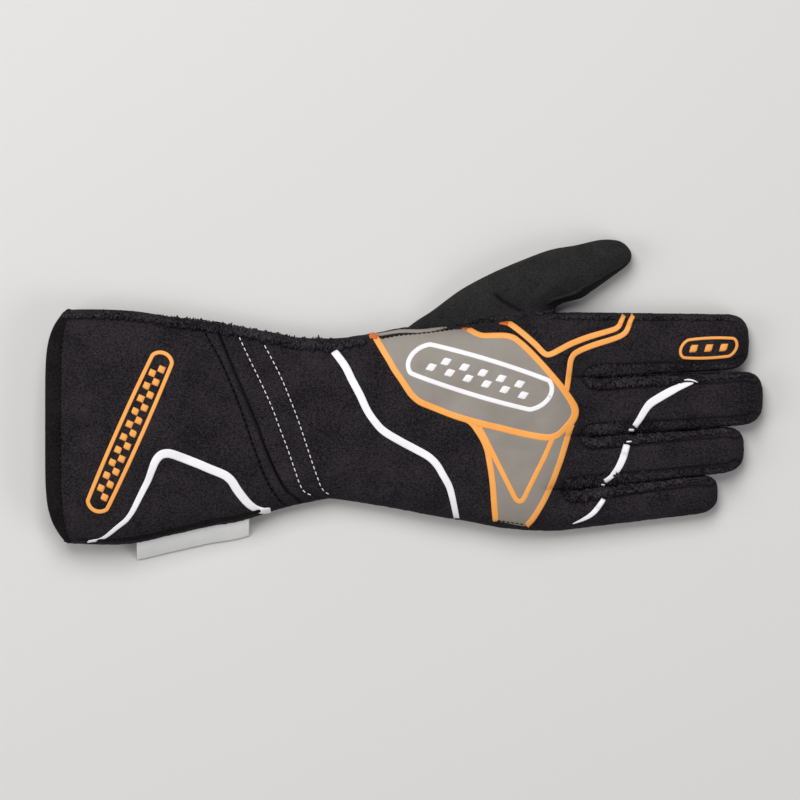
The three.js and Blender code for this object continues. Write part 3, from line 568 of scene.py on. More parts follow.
@dataclass(frozen=True)
class Cloth:
    """Fine relief of the sewn cloth: slack waves, seam creases and rows of pulled-in stitches."""

    body: Body
    slack: float = 0.42
    slack_length: float = 34.0
    ripple: float = 0.1
    ripple_length: float = 9.0
    # share of both that is left at the side seams, where the cloth is pulled tight
    tight_share: float = 0.3
    # half widths of the grooves over the gauntlet seam, the black row, the white rows and the hem's row
    fold_width: float = 0.65
    black_width: float = 0.9
    white_width: float = 1.0
    hem_groove: float = 0.8
    # how far the cloth's welts stand from the middle of a white row and of the hem's row
    welt_offset: float = 2.4
    hem_welt_offset: float = 3.4
    crease: float = 0.9
    pull: float = 0.38
    valley_dip: float = 0.5
    valley_dip_at: float = 2.9
    # distance from the slot seams' lines of the painted shade at the foot of their ridges
    valley_shade_at: float = 2.8
    welt: float = 0.16
    hem_pull: float = 0.45
    # distance square to a slanted row for each millimetre along X
    square_share: float = 0.9

    def row_x(self, table: Rows, t: np.ndarray) -> np.ndarray:
        """X of a sewn row: the gauntlet seam's line plus the table's distance ahead of it."""
        return self.body.gauntlet_seam(t) + table_curve(table, 1, -t)

    def from_row(self, table: Rows, x: np.ndarray, t: np.ndarray) -> np.ndarray:
        """Distance of places from a sewn row, measured square to it."""
        return (x - self.row_x(table, t)) * self.square_share

    def back(self, x: np.ndarray, y: np.ndarray) -> np.ndarray:
        """Height that the fine relief adds to the back.

        Formula: two fields of soft waves, less a groove along the gauntlet seam, the hem's
        stitches and each topstitched row, plus low welts beside them.

        Args:
            x: X of the places.
            y: Y of the places.

        Returns:
            The added height.
        """
        body = self.body
        t = body.across(x, y)
        calm = 1 - smooth_step(np.abs(t), 0.8, 1.0)
        lift = (self.slack * waves(x, y, self.slack_length, 11)
                + self.ripple * waves(x, y, self.ripple_length, 12))
        lift = lift * (self.tight_share + (1 - self.tight_share) * calm)
        fold = self.from_row(SEAM_FOLD, x, t)
        lift -= self.crease * groove(fold, self.fold_width)
        lift += 0.4 * groove(fold + 2.0, 1.6) - 0.25 * smooth_step(fold, -0.6, 0.6) * groove(fold, 6.0)
        lift -= self.pull * groove(self.from_row(BLACK_ROW, x, t), self.black_width)
        for row in WHITE_ROWS:
            off = self.from_row(row, x, t)
            lift -= self.pull * groove(off, self.white_width)
            lift += self.welt * (groove(off - self.welt_offset, 1.6) + groove(off + self.welt_offset, 1.6))
        hem = x - (body.mouth_edge(t) + body.hem_width(t))
        lift -= self.hem_pull * groove(hem, self.hem_groove)
        lift += self.hem_pull * groove(hem + self.hem_welt_offset, 3.0)
        return lift - self.valley_dip * groove(body.valley_distance(x, y) - self.valley_dip_at, 0.8)

    def painted_shade(self, x: np.ndarray, y: np.ndarray) -> np.ndarray:
        """Share of painted shade on the back, from 0 to 1, where the cloth dips into a sewn line.

        Formula: bells across the gauntlet seam, the stitched rows and the fingers' seams.

        Args:
            x: X of the places.
            y: Y of the places.

        Returns:
            The share at each place.
        """
        body = self.body
        t = body.across(x, y)
        dark = 0.95 * groove(self.from_row(SEAM_FOLD, x, t), 0.62)
        dark = dark + 0.6 * groove(self.from_row(BLACK_ROW, x, t), 0.6)
        for row in WHITE_ROWS:
            dark = dark + 0.3 * groove(self.from_row(row, x, t), 0.8)
        dark = dark + 0.6 * groove(x - (body.mouth_edge(t) + body.hem_width(t)), 0.5)
        dark = dark + 0.75 * groove(body.valley_distance(x, y) - self.valley_shade_at, 0.55)
        return np.clip(dark, 0, 1)

    def under(self, x: np.ndarray, y: np.ndarray) -> np.ndarray:
        """Height that slack adds to the underside, which never sinks under the floor."""
        return 0.12 * np.abs(waves(x, y, 22.0, 21))


def grid_quads(rows: int, columns: int, wrap: bool = False, start: int = 0) -> np.ndarray:
    """Corner numbers of a grid's quads, which face along (row direction) x (column direction).

    Args:
        rows: Rows of points.
        columns: Points in a row.
        wrap: Whether each row's last point joins its first.
        start: Number of the grid's first point.

    Returns:
        An (n, 4) array of corner numbers.
    """
    last = columns if wrap else columns - 1
    i, j = np.meshgrid(np.arange(rows - 1), np.arange(last), indexing="ij")
    after = (j + 1) % columns
    corners = np.stack([i * columns + j, (i + 1) * columns + j, (i + 1) * columns + after,
                        i * columns + after], axis=-1)
    return corners.reshape(-1, 4) + start


def weld(points: np.ndarray, faces: np.ndarray) -> tuple[np.ndarray, np.ndarray]:
    """Join points that share a place, to a thousandth of a millimetre.

    Args:
        points: An (n, 3) array of places, or (n, 4) with the share of painted shade at each.
        faces: An (m, 4) array of corner numbers.

    Returns:
        The points left and the faces on them.
    """
    keys = np.round(points[:, :3] * 1000).astype(np.int64)
    _, first, inverse = np.unique(keys, axis=0, return_index=True, return_inverse=True)
    return points[first], inverse.reshape(-1)[faces]


def make_mesh(name: str, points: np.ndarray, faces: np.ndarray, material: bpy.types.Material,
              slot: str) -> bpy.types.Object:
    """Fill a mesh from arrays and put its object on the glove's body.

    Args:
        name: The piece's name.
        points: An (n, 3) array of places in millimetres, or (n, 4) with the share of
        painted shade at each, from 0 to 1.
        faces: An (m, 4) array of corner numbers; a corner may stand twice, as at a tip.
        material: The finish.
        slot: The record's material slot; not used.

    Returns:
        The new object.
    """
    doubled = (faces == np.roll(faces, -1, axis=1))
    faces = faces[doubled.sum(axis=1) < 2]
    doubled = (faces == np.roll(faces, -1, axis=1))
    counts = 4 - doubled.sum(axis=1)
    loops = faces[~doubled]
    mesh = bpy.data.meshes.new(name)
    mesh.vertices.add(len(points))
    mesh.vertices.foreach_set("co", (points[:, :3] * METRE).astype(np.float32).ravel())
    mesh.loops.add(len(loops))
    mesh.loops.foreach_set("vertex_index", loops.astype(np.int32))
    mesh.polygons.add(len(faces))
    starts = np.concatenate([[0], np.cumsum(counts)[:-1]]).astype(np.int32)
    mesh.polygons.foreach_set("loop_start", starts)
    mesh.update(calc_edges=True)
    mesh.validate()
    # A fourth column is painted shade: how far the colour is darkened where shade falls in seams and creases.
    if points.shape[1] > 3:
        painted_shade = mesh.attributes.new("painted_shade", "FLOAT", "POINT")
        painted_shade.data.foreach_set("value", points[:, 3].astype(np.float32))
    mesh.polygons.foreach_set("use_smooth", np.ones(len(mesh.polygons), dtype=bool))
    mesh.materials.append(material)
    piece = bpy.data.objects.new(name, mesh)
    bpy.context.scene.collection.objects.link(piece)
    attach(piece, "root")
    LOG.info("%s: %d points, %d faces", name, len(points), len(mesh.polygons))
    return piece


def add_wall(piece: bpy.types.Object, thickness: float) -> None:
    """Give an open sheet its cloth's thickness on the inner side.

    Args:
        piece: The sheet's object.
        thickness: Wall in millimetres.
    """
    wall = piece.modifiers.new("cloth_wall", "SOLIDIFY")
    wall.thickness = thickness * METRE
    wall.offset = -1.0
    wall.use_rim = True


def unit(vectors: np.ndarray) -> np.ndarray:
    """Vectors of length 1, along the last axis."""
    return vectors / np.maximum(np.linalg.norm(vectors, axis=-1, keepdims=True), 1e-9)


def spline(points: np.ndarray, step: float) -> np.ndarray:
    """Even places along a smooth curve through points.

    Formula: cubic Hermite over the chords' lengths, then even steps of its own length.

    Args:
        points: An (n, k) array of places.
        step: Distance between the places returned.

    Returns:
        An (m, k) array.
    """
    chord = np.concatenate([[0], np.cumsum(np.linalg.norm(np.diff(points, axis=0), axis=1))])
    fine = np.linspace(0, chord[-1], max(20, int(chord[-1] / step) * 4))
    curve = np.column_stack([table_curve(tuple(map(tuple, np.column_stack([chord, axis]))), 1, fine)
                             for axis in points.T])
    length = np.concatenate([[0], np.cumsum(np.linalg.norm(np.diff(curve, axis=0), axis=1))])
    even = np.linspace(0, length[-1], max(3, int(round(length[-1] / step)) + 1))
    return np.column_stack([np.interp(even, length, axis) for axis in curve.T])


def linear(colour: str) -> tuple[float, float, float, float]:
    """Turn an sRGB hex colour into linear RGBA.

    Args:
        colour: Six hex digits after a number sign.

    Returns:
        Linear red, green, blue and an alpha of 1.
    """
    values = [int(colour[place:place + 2], 16) / 255 for place in (1, 3, 5)]
    return (*[v / 12.92 if v <= 0.04045 else ((v + 0.055) / 1.055) ** 2.4 for v in values], 1.0)


def add_node(tree: bpy.types.NodeTree, kind: str, settings: dict | None = None,
             links: dict | None = None) -> bpy.types.Node:
    """Add a shader node with its settings, socket values and incoming links.

    Args:
        tree: The material's node tree.
        kind: The node's type name.
        settings: Node properties by name, and socket values by socket name or number.
        links: Output sockets by the name or number of the input they feed.

    Returns:
        The node.
    """
    node = tree.nodes.new(kind)
    for key, value in (settings or {}).items():
        if isinstance(key, str) and hasattr(node, key):
            setattr(node, key, value)
        else:
            node.inputs[key].default_value = value
    for key, socket in (links or {}).items():
        tree.links.new(socket, node.inputs[key])
    return node


def add_noise(tree: bpy.types.NodeTree, place: bpy.types.NodeSocket, size: float, detail: float,
              roughness: float = 0.5, distortion: float = 0.0) -> bpy.types.NodeSocket:
    """Add a noise texture.

    Args:
        tree: The material's node tree.
        place: Socket with the places.
        size: Size of its lumps in millimetres.
        detail: How many finer layers are added.
        roughness: Strength of the finer layers.
        distortion: How far its lumps are drawn out of shape.

    Returns:
        The socket with its values.
    """
    settings = {"Scale": 1 / (size * METRE), "Detail": detail, "Roughness": roughness,
                "Distortion": distortion}
    return add_node(tree, "ShaderNodeTexNoise", settings, {"Vector": place}).outputs["Fac"]


def add_sum(tree: bpy.types.NodeTree, share: float, first: bpy.types.NodeSocket,
            second: bpy.types.NodeSocket) -> bpy.types.NodeSocket:
    """Add a share of one value to another.

    Args:
        tree: The material's node tree.
        share: Share of the first value.
        first: Socket with the first value.
        second: Socket with the value that is taken in full.

    Returns:
        The socket with the sum.
    """
    return add_node(tree, "ShaderNodeMath", {"operation": "MULTIPLY_ADD", 1: share},
                    {0: first, 2: second}).outputs[0]


def start_material(name: str, roughness: float, gloss: float,
                   sheen: tuple[float, float] = (0.0, 0.5)) -> bpy.types.Material:
    """Start a material with its shader's plain values.

    Args:
        name: The material's name.
        roughness: Roughness of its face.
        gloss: Strength of its mirrored light.
        sheen: Weight and roughness of its sheen.

    Returns:
        The material.
    """
    material = bpy.data.materials.new(name)
    material.use_nodes = True
    inputs = material.node_tree.nodes["Principled BSDF"].inputs
    for key, value in (("Roughness", roughness), ("Specular IOR Level", gloss),
                       ("Sheen Weight", sheen[0]), ("Sheen Roughness", sheen[1])):
        inputs[key].default_value = value
    return material


def colour_material(material: bpy.types.Material, tone: bpy.types.NodeSocket,
                    span: tuple[float, float], colours: tuple[str, str],
                    height: bpy.types.NodeSocket, depth: float, bump_mm: float,
                    painted_shade_colour: str = "") -> bpy.types.Material:
    """Give a material its colours and its bump.

    Args:
        material: The material.
        tone: Socket with the value that runs from the first colour to the second.
        span: Values of the first and the second colour.
        colours: Both colours as hex.
        height: Socket with the bump's height.
        depth: Strength of the bump.
        bump_mm: Height of the bump in millimetres.
        painted_shade_colour: Colour of the painted shade where the cloth dips into a sewn
        line or folds, or none.

    Returns:
        The material.
    """
    tree = material.node_tree
    shader = tree.nodes["Principled BSDF"]
    spread = add_node(tree, "ShaderNodeMapRange", {"From Min": span[0], "From Max": span[1]},
                      {"Value": tone})
    colour = add_node(tree, "ShaderNodeMix", {"data_type": "RGBA", 6: linear(colours[0]),
                                              7: linear(colours[1])}, {0: spread.outputs[0]})
    # Painted shade: the colour is mixed towards a near-black by the mesh's shade attribute.
    if painted_shade_colour:
        painted_shade = add_node(tree, "ShaderNodeAttribute", {"attribute_name": "painted_shade"})
        colour = add_node(tree, "ShaderNodeMix", {"data_type": "RGBA", 7: linear(painted_shade_colour)},
                          {0: painted_shade.outputs["Fac"], 6: colour.outputs[2]})
    bump = add_node(tree, "ShaderNodeBump", {"Strength": depth, "Distance": bump_mm * METRE},
                    {"Height": height})
    tree.links.new(colour.outputs[2], shader.inputs["Base Color"])
    tree.links.new(bump.outputs[0], shader.inputs["Normal"])
    return material


@dataclass(frozen=True)
class KnitFinish:
    """Aramid knit, brushed on its face: matt black that breaks into grey specks along the wales.

    The specks are drawn about twice as coarse as the real stitches, which are too fine to show.
    """

    name: str
    colour: str
    light_colour: str
    wale_mm: float = 0.55
    stretch: float = 1.5
    contrast: float = 0.15
    depth: float = 0.6
    roughness: float = 0.9
    sheen: float = 0.015
    gloss: float = 0.06
    yarn_mm: float = 0.45
    mottle_mm: float = 16.0
    middle_tone: float = 0.95
    # near-black that the painted shade in seams, creases and ridge flanks mixes towards
    painted_shade_colour: str = "#020202"

    def make(self) -> bpy.types.Material:
        """Build the material.

        Returns:
            The material.
        """
        material = start_material(self.name, self.roughness, self.gloss, (self.sheen, 0.6))
        tree = material.node_tree
        place = add_node(tree, "ShaderNodeTexCoord").outputs["Object"]
        drawn = add_node(tree, "ShaderNodeMapping", {"Scale": (1 / self.stretch, 1.0, 1.0)},
                         {"Vector": place})
        wales = add_noise(tree, drawn.outputs[0], self.wale_mm / 0.8, 3.0, 0.75)
        yarn = add_noise(tree, place, self.yarn_mm / 0.8, 2.0, 0.6)
        knit = add_sum(tree, 0.6, yarn, wales)
        tone = add_sum(tree, 0.3, add_noise(tree, place, self.mottle_mm, 3.0), knit)
        span = (self.middle_tone - self.contrast, self.middle_tone + self.contrast)
        return colour_material(material, tone, span, (self.colour, self.light_colour), knit,
                               self.depth, 0.4, self.painted_shade_colour)


@dataclass(frozen=True)
class SuedeFinish:
    """Brushed suede leather: matt, with a nap whose fibres lie in soft darker and lighter drifts."""

    name: str
    colour: str
    light_colour: str
    nap_mm: float = 0.8
    depth: float = 0.6
    roughness: float = 0.95
    gloss: float = 0.06
    sheen: float = 0.02
    drift_mm: float = 9.0
    tones: tuple[float, float] = (0.42, 0.83)
    # near-black that the painted shade in the thumb's crease and round its root mixes towards
    painted_shade_colour: str = "#030303"

    def make(self) -> bpy.types.Material:
        """Build the material.

        Returns:
            The material.
        """
        material = start_material(self.name, self.roughness, self.gloss, (self.sheen, 0.5))
        tree = material.node_tree
        place = add_node(tree, "ShaderNodeTexCoord").outputs["Object"]
        nap = add_noise(tree, place, self.nap_mm, 5.0, 0.75)
        drift = add_noise(tree, place, self.drift_mm, 3.0, distortion=0.4)
        return colour_material(material, add_sum(tree, 0.25, drift, nap), self.tones,
                               (self.colour, self.light_colour), nap, self.depth, 0.3,
                               self.painted_shade_colour)


@dataclass(frozen=True)
class PrintFinish:
    """Flexible screen print on knit: an even colour with a soft gloss and the knit faintly in it."""

    name: str
    colour: str
    shade_colour: str
    roughness: float = 0.5
    depth: float = 0.12
    gloss: float = 0.3
    grain_mm: float = 0.8
    cloud_mm: float = 12.0
    tones: tuple[float, float] = (0.5, 1.3)

    def make(self) -> bpy.types.Material:
        """Build the material.

        Returns:
            The material.
        """
        material = start_material(self.name, self.roughness, self.gloss)
        tree = material.node_tree
        place = add_node(tree, "ShaderNodeTexCoord").outputs["Object"]
        grain = add_noise(tree, place, self.grain_mm, 3.0, 0.6)
        cloud = add_noise(tree, place, self.cloud_mm, 2.0)
        return colour_material(material, add_sum(tree, 0.8, cloud, grain), self.tones,
                               (self.shade_colour, self.colour), grain, self.depth, 0.2)


@dataclass(frozen=True)
class Finishes:
    """The glove's materials, one of each."""

    knit: bpy.types.Material
    band: bpy.types.Material
    palm_suede: bpy.types.Material
    thumb_suede: bpy.types.Material
    grey: bpy.types.Material
    orange: bpy.types.Material
    orange_fold_shade: bpy.types.Material
    white: bpy.types.Material
    thread_white: bpy.types.Material
    thread_black: bpy.types.Material
    fuzz: bpy.types.Material
    tape: bpy.types.Material


def make_finishes() -> Finishes:
    """Build all finishes.

    Returns:
        The finishes.
    """
    return Finishes(
        knit=KnitFinish("aramid_knit_black", "#110f11", "#353034").make(),
        band=KnitFinish("aramid_knit_band", "#0c0b0b", "#232022").make(),
        palm_suede=SuedeFinish("suede_black", "#151314", "#262324").make(),
        thumb_suede=SuedeFinish("suede_dark_grey", "#151515", "#363637").make(),
        grey=PrintFinish("screen_print_grey", "#978f86", "#8e867d").make(),
        orange=PrintFinish("screen_print_orange", "#ffb05a", "#fda64d").make(),
        # darker, redder copy of the orange print: painted shade where the print turns over the rim's ends
        orange_fold_shade=PrintFinish("screen_print_orange_fold", "#e0783c", "#c4602a").make(),
        white=PrintFinish("screen_print_white", "#fdfafc", "#f6f2f5").make(),
        thread_white=PrintFinish("polyester_thread_white", "#f4f0f0", "#dcd6d6", 0.6, 0.4).make(),
        thread_black=PrintFinish("polyester_thread_black", "#040404", "#010101", 0.7, 0.4, 0.05).make(),
        fuzz=KnitFinish("cut_knit_fleece", "#050405", "#423d42", 0.75, 1.1, 0.1, 1.0, 0.95, 0.02).make(),
        tape=PrintFinish("woven_label_tape", "#fafaf8", "#ecece8", 0.7, 0.3).make(),
    )


class Face(Enum):
    """Which skin of the glove a sheet is."""

    BACK = 1
    PALM = -1


@dataclass(frozen=True)
class Surface:
    """The glove's back as one height over plan places, for all that lies on it."""

    body: Body
    cloth: Cloth
    finger_calm: float = 0.65
    calm_length: float = 20.0

    def height(self, x: np.ndarray, y: np.ndarray) -> np.ndarray:
        """Height of the dressed back: the body's back plus the cloth's relief."""
        return self.body.back_at(x, y) + self.cloth.back(x, y) * self.cloth_share(x, y)

    def cloth_share(self, x: np.ndarray, y: np.ndarray) -> np.ndarray:
        """Share of the relief: all of it on cuff and hand, a third of it past the crotches."""
        end = self.body.hand_length
        return 1 - self.finger_calm * smooth_step(x, end - self.calm_length, end)

    def on(self, plan: np.ndarray, lift: float | np.ndarray = 0.0) -> np.ndarray:
        """Lay plan places on the back.

        Args:
            plan: X and Y in the last axis.
            lift: Height over the cloth.

        Returns:
            X, Y and Z in the last axis.
        """
        x, y = plan[..., 0], plan[..., 1]
        return np.stack([x, y, self.height(x, y) + lift], axis=-1)

    def normal(self, plan: np.ndarray) -> np.ndarray:
        """Outward direction of the body's back at plan places, from height differences.

        Args:
            plan: X and Y in the last axis.

        Returns:
            Unit vectors.
        """
        x, y = plan[..., 0], plan[..., 1]
        step = 0.4
        slope_x = (self.body.back_at(x + step, y) - self.body.back_at(x - step, y)) / (2 * step)
        slope_y = (self.body.back_at(x, y + step) - self.body.back_at(x, y - step)) / (2 * step)
        return unit(np.stack([-slope_x, -slope_y, np.ones_like(slope_x)], axis=-1))


@dataclass(frozen=True)
class Gauntlet:
    """Long cuff: a back and an under half of knit, and the knit turned over at the mouth."""

    surface: Surface
    finishes: Finishes
    wall: float = 1.4
    columns: int = 160
    rows: int = 190
    ring: int = 560
    seam_tuck: float = 0.4
    # shallow dents that the hem's stitches pull into its inner edge
    pucker: float = 0.12
    pucker_pitch: float = 2.6
    pucker_at: float = 6.2
    pucker_width: float = 1.4
    hem_relief: float = 0.6
    slip_depth: float = 0.5
    # distance from the mouth's edge and distance outwards, round the turned hem
    hem_profile: Rows = (
        (7.5, -0.05), (6.9, 0.22), (6.0, 0.42), (4.6, 0.55), (3.1, 0.5), (1.9, 0.3), (1.0, 0.0),
        (0.35, -0.45), (0.03, -1.0), (0.1, -1.6), (0.5, -2.1), (1.3, -2.45), (3.2, -2.6),
        (5.6, -2.6), (7.4, -2.5), (8.0, -2.1), (8.1, -1.5), (8.0, -0.9))

    def dip(self, x: np.ndarray, t: np.ndarray) -> np.ndarray:
        """Depth by which the cuff's last strip slips under the hand's edge."""
        return self.slip_depth * smooth_step(x - self.surface.body.gauntlet_seam(t), -0.9, 0.1)

    def half(self, face: Face) -> bpy.types.Object:
        """Build one half of the cuff.

        Formula: t across by rows from the mouth to the gauntlet seam, each point at the body's
        height plus the cloth's relief, with the columns set closer towards the side seams.

        Args:
            face: Back or palm half.

        Returns:
            The half's object.
        """
        body, cloth = self.surface.body, self.surface.cloth
        angle = np.linspace(-math.pi / 2, math.pi / 2, self.columns)
        sine = np.sin(angle)
        t = np.sign(sine) * np.abs(sine) ** (2 / body.crown_power) if face is Face.BACK else sine
        share = 1 - (1 - np.linspace(0, 1, self.rows)[:, None]) ** 1.35
        start = body.mouth_edge(t) + 2.5
        x = start + (body.gauntlet_seam(t) + self.seam_tuck - start) * share
        y = body.side(x, t)
        if face is Face.BACK:
            z = body.back_height(x, t) + cloth.back(x, y) - self.dip(x, t)
            # painted shade in the cuff's seam, its stitched rows and the hem's line
            deep = cloth.painted_shade(x, y)
            name, node = "gauntlet_back_knit", "gauntlet_back"
        else:
            z = body.under_height(x, t) + (cloth.under(x, y) + self.dip(x, t)) * (1 - t ** 8)
            deep = 0.0
            name, node = "gauntlet_under_knit", "gauntlet_under"
        points = np.stack(np.broadcast_arrays(x, y, z, deep), axis=-1).reshape(-1, 4)
        faces = grid_quads(self.rows, self.columns)
        if face is Face.PALM:
            faces = faces[:, ::-1]
        piece = make_mesh(name, points, faces, self.finishes.knit, "black_knit")
        add_wall(piece, self.wall)
        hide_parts(node)
        return piece

    def hem(self) -> bpy.types.Object:
        """Build the turned hem as a closed ring.

        Formula: a closed profile carried round the mouth's section, its second number measured
        along the section's outward direction; the stitches pull its inner edge in at even steps.

        Returns:
            The hem's object.
        """
        body = self.surface.body
        upper = self.ring // 2
        sine = np.sin(np.linspace(math.pi / 2, -math.pi / 2, upper))
        t_back = np.sign(sine) * np.abs(sine) ** (2 / body.crown_power)
        t_sole = np.sin(np.linspace(-math.pi / 2, math.pi / 2, self.ring - upper + 2))[1:-1]
        t = np.concatenate([t_back, t_sole])
        on_back = np.arange(self.ring) < upper
        profile = spline(np.array(self.hem_profile + self.hem_profile[:1]), 0.75)[:-1]
        narrowed = body.hem_width(t)[:, None] / body.hem_band
        reach = profile[None, :, 0]
        x = body.mouth_edge(t)[:, None] + np.where(reach > 1, 1 + (reach - 1) * narrowed, reach)
        across = np.broadcast_to(t[:, None], x.shape)
        y = body.side(x, across)
        z = np.where(on_back[:, None], body.back_height(x, across), body.under_height(x, across))
        relief = self.surface.cloth.back(x, y) * on_back[:, None]
        step_y, step_z = (np.roll(a, -1, 0) - np.roll(a, 1, 0) for a in (y, z))
        run = unit(np.stack([step_y, step_z], -1))
        length = np.cumsum(np.hypot(np.diff(y[:, 0], append=y[:1, 0]), np.diff(z[:, 0], append=z[:1, 0])))
        pucker = self.pucker * np.cos(length * 2 * math.pi / self.pucker_pitch)[:, None]
        pucker = pucker * groove(profile[None, :, 0] - self.pucker_at, self.pucker_width)
        out = profile[None, :, 1] + pucker * (profile[None, :, 1] > 0) + relief * self.hem_relief
        out = np.where(on_back[:, None], out, np.minimum(0, out))
        y = y + run[..., 1] * out
        z = z - run[..., 0] * out
        points = np.stack([x, y, z], axis=-1).reshape(-1, 3)
        faces = np.vstack([grid_quads(self.ring, len(profile), wrap=True)[:, ::-1],
                           self.join_ends(self.ring, len(profile))])
        piece = make_mesh("turned_hem", points, faces, self.finishes.band, "black_band")
        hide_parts("cuff_hem")
        return piece

    def join_ends(self, rows: int, columns: int) -> np.ndarray:
        """Quads between a closed ring's last and first row.

        Args:
            rows: Rows round the ring.
            columns: Points in a row.

        Returns:
            An (n, 4) array of corner numbers.
        """
        j = np.arange(columns)
        after = (j + 1) % columns
        last = (rows - 1) * columns
        return np.stack([last + j, last + after, after, j], axis=-1)

    def build(self) -> None:
        """Build both halves and the hem."""
        self.half(Face.BACK)
        self.half(Face.PALM)
        self.hem()


@dataclass(frozen=True)
class Hand:
    """Back and palm with their four fingers, and the strips sewn between the fingers."""

    surface: Surface
    finishes: Finishes
    wall: float = 1.2
    columns: int = 40
    palm_columns: int = 26
    strip_bulge: float = 0.5
    strip_tuck: float = 0.35
    strip_wall: float = 0.9
    strip_rows: int = 13
    crotch_depth: float = 0.9

    def stations(self, fine: bool) -> np.ndarray:
        """Places along a strip: closest at the gauntlet seam's stitch rows and at the tip.

        Args:
            fine: Whether the places stand close, as the back's stitched relief needs.

        Returns:
            Places from 0 to 2.
        """
        near, middle, far = (46, 128, 96) if fine else (14, 60, 60)
        finger = 1 - (1 - np.linspace(0, 1, far + 1)) ** 1.5
        return np.concatenate([np.linspace(0, 0.17, near, endpoint=False),
                               np.linspace(0.17, 1, middle, endpoint=False), 1 + finger])

    def skin(self, face: Face) -> bpy.types.Object:
        """Build the back or the palm as one mesh of four welded strips.

        Formula: the body's strip points, with the cloth's relief added to the back where it
        isn't sewn down at a finger's rim.

        Args:
            face: Back or palm.

        Returns:
            The skin's object.
        """
        body, cloth = self.surface.body, self.surface.cloth
        back = face is Face.BACK
        along = self.stations(back)[:, None]
        angle = np.linspace(-1, 1, self.columns if back else self.palm_columns)
        t = (0.75 * np.sin(angle * math.pi / 2) + 0.25 * angle)[None, :]
        points, faces, count = [], [], 0
        for index in range(len(body.fingers)):
            place = body.strip_point(index, along, t, face.value)
            keep = 1 - np.abs(t) ** 8 * smooth_step(along, 0.95, 1.03)
            deep = np.zeros(place.shape[:2])
            if back:
                # painted shade in the sewn lines and round the fingers' slot seams
                deep = cloth.painted_shade(place[..., 0], place[..., 1])
                place[..., 2] += (cloth.back(place[..., 0], place[..., 1]) * keep
                                  * self.surface.cloth_share(place[..., 0], place[..., 1]))
            else:
                place[..., 2] += cloth.under(place[..., 0], place[..., 1]) * keep * (1 - np.abs(t) ** 8)
            quads = grid_quads(place.shape[0], place.shape[1], start=count)
            points.append(np.concatenate([place, deep[..., None]], axis=-1).reshape(-1, 4))
            faces.append(quads if back else quads[:, ::-1])
            count += len(points[-1])
        joined = weld(np.vstack(points), np.vstack(faces))
        name, node = ("back_knit", "hand_back") if back else ("palm_suede", "palm")
        finish = self.finishes.knit if back else self.finishes.palm_suede
        piece = make_mesh(name, *joined, finish, "black_knit" if back else "black_suede")
        add_wall(piece, self.wall)
        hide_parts(node)
        return piece

    def strip(self, index: int, node: str) -> bpy.types.Object:
        """Build the strip between two fingers.

        Formula: a path down one finger's edge, round the crotch and up the next, carried from
        the palm's rim to the back's, with a low bulge into the slot.

        Args:
            index: Number of the finger on the thumb side.
            node: The solid it stands for.

        Returns:
            The strip's object.
        """
        body = self.surface.body
        leg = np.linspace(0.985, 0.012, 70)
        first = np.column_stack(body.finger_edge(index, -1, leg))
        second = np.column_stack(body.finger_edge(index + 1, 1, leg[::-1]))
        share = np.concatenate([leg, np.zeros(9), leg[::-1]])
        turn = np.linspace(0, math.pi, 11)[1:-1]
        middle, half = (first[-1] + second[0]) / 2, (first[-1] - second[0]) / 2
        bend = middle + np.outer(np.cos(turn), half)
        bend[:, 0] -= np.sin(turn) * self.crotch_depth
        plan = np.vstack([first, bend, second])
        run = unit(np.gradient(plan, axis=0))
        inward = np.column_stack([-run[:, 1], run[:, 0]])
        seam = body.side_share * body.finger_height
        half_height = (body.rim_lift + self.strip_tuck) * (1 - body.rim_fall * share ** 2)
        level = np.linspace(-1, 1, self.strip_rows)[None, :]
        bulge = self.strip_bulge * (1 - level ** 2) - self.strip_tuck
        places = plan[:, None, :] + inward[:, None, :] * bulge[..., None]
        z = seam + half_height[:, None] * level
        points = np.concatenate([places, z[..., None]], axis=-1).reshape(-1, 3)
        quads = grid_quads(len(plan), self.strip_rows)[:, ::-1]
        piece = make_mesh(f"finger_side_strip_{index + 1}", points, quads, self.finishes.band,
                          "black_band")
        add_wall(piece, self.strip_wall)
        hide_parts(node)
        return piece

    def build(self) -> None:
        """Build back, palm and the three strips."""
        self.skin(Face.BACK)
        self.skin(Face.PALM)
        for index, node in enumerate(("side_strip_index_middle", "side_strip_middle_ring",
                                      "side_strip_ring_little")):
            self.strip(index, node)


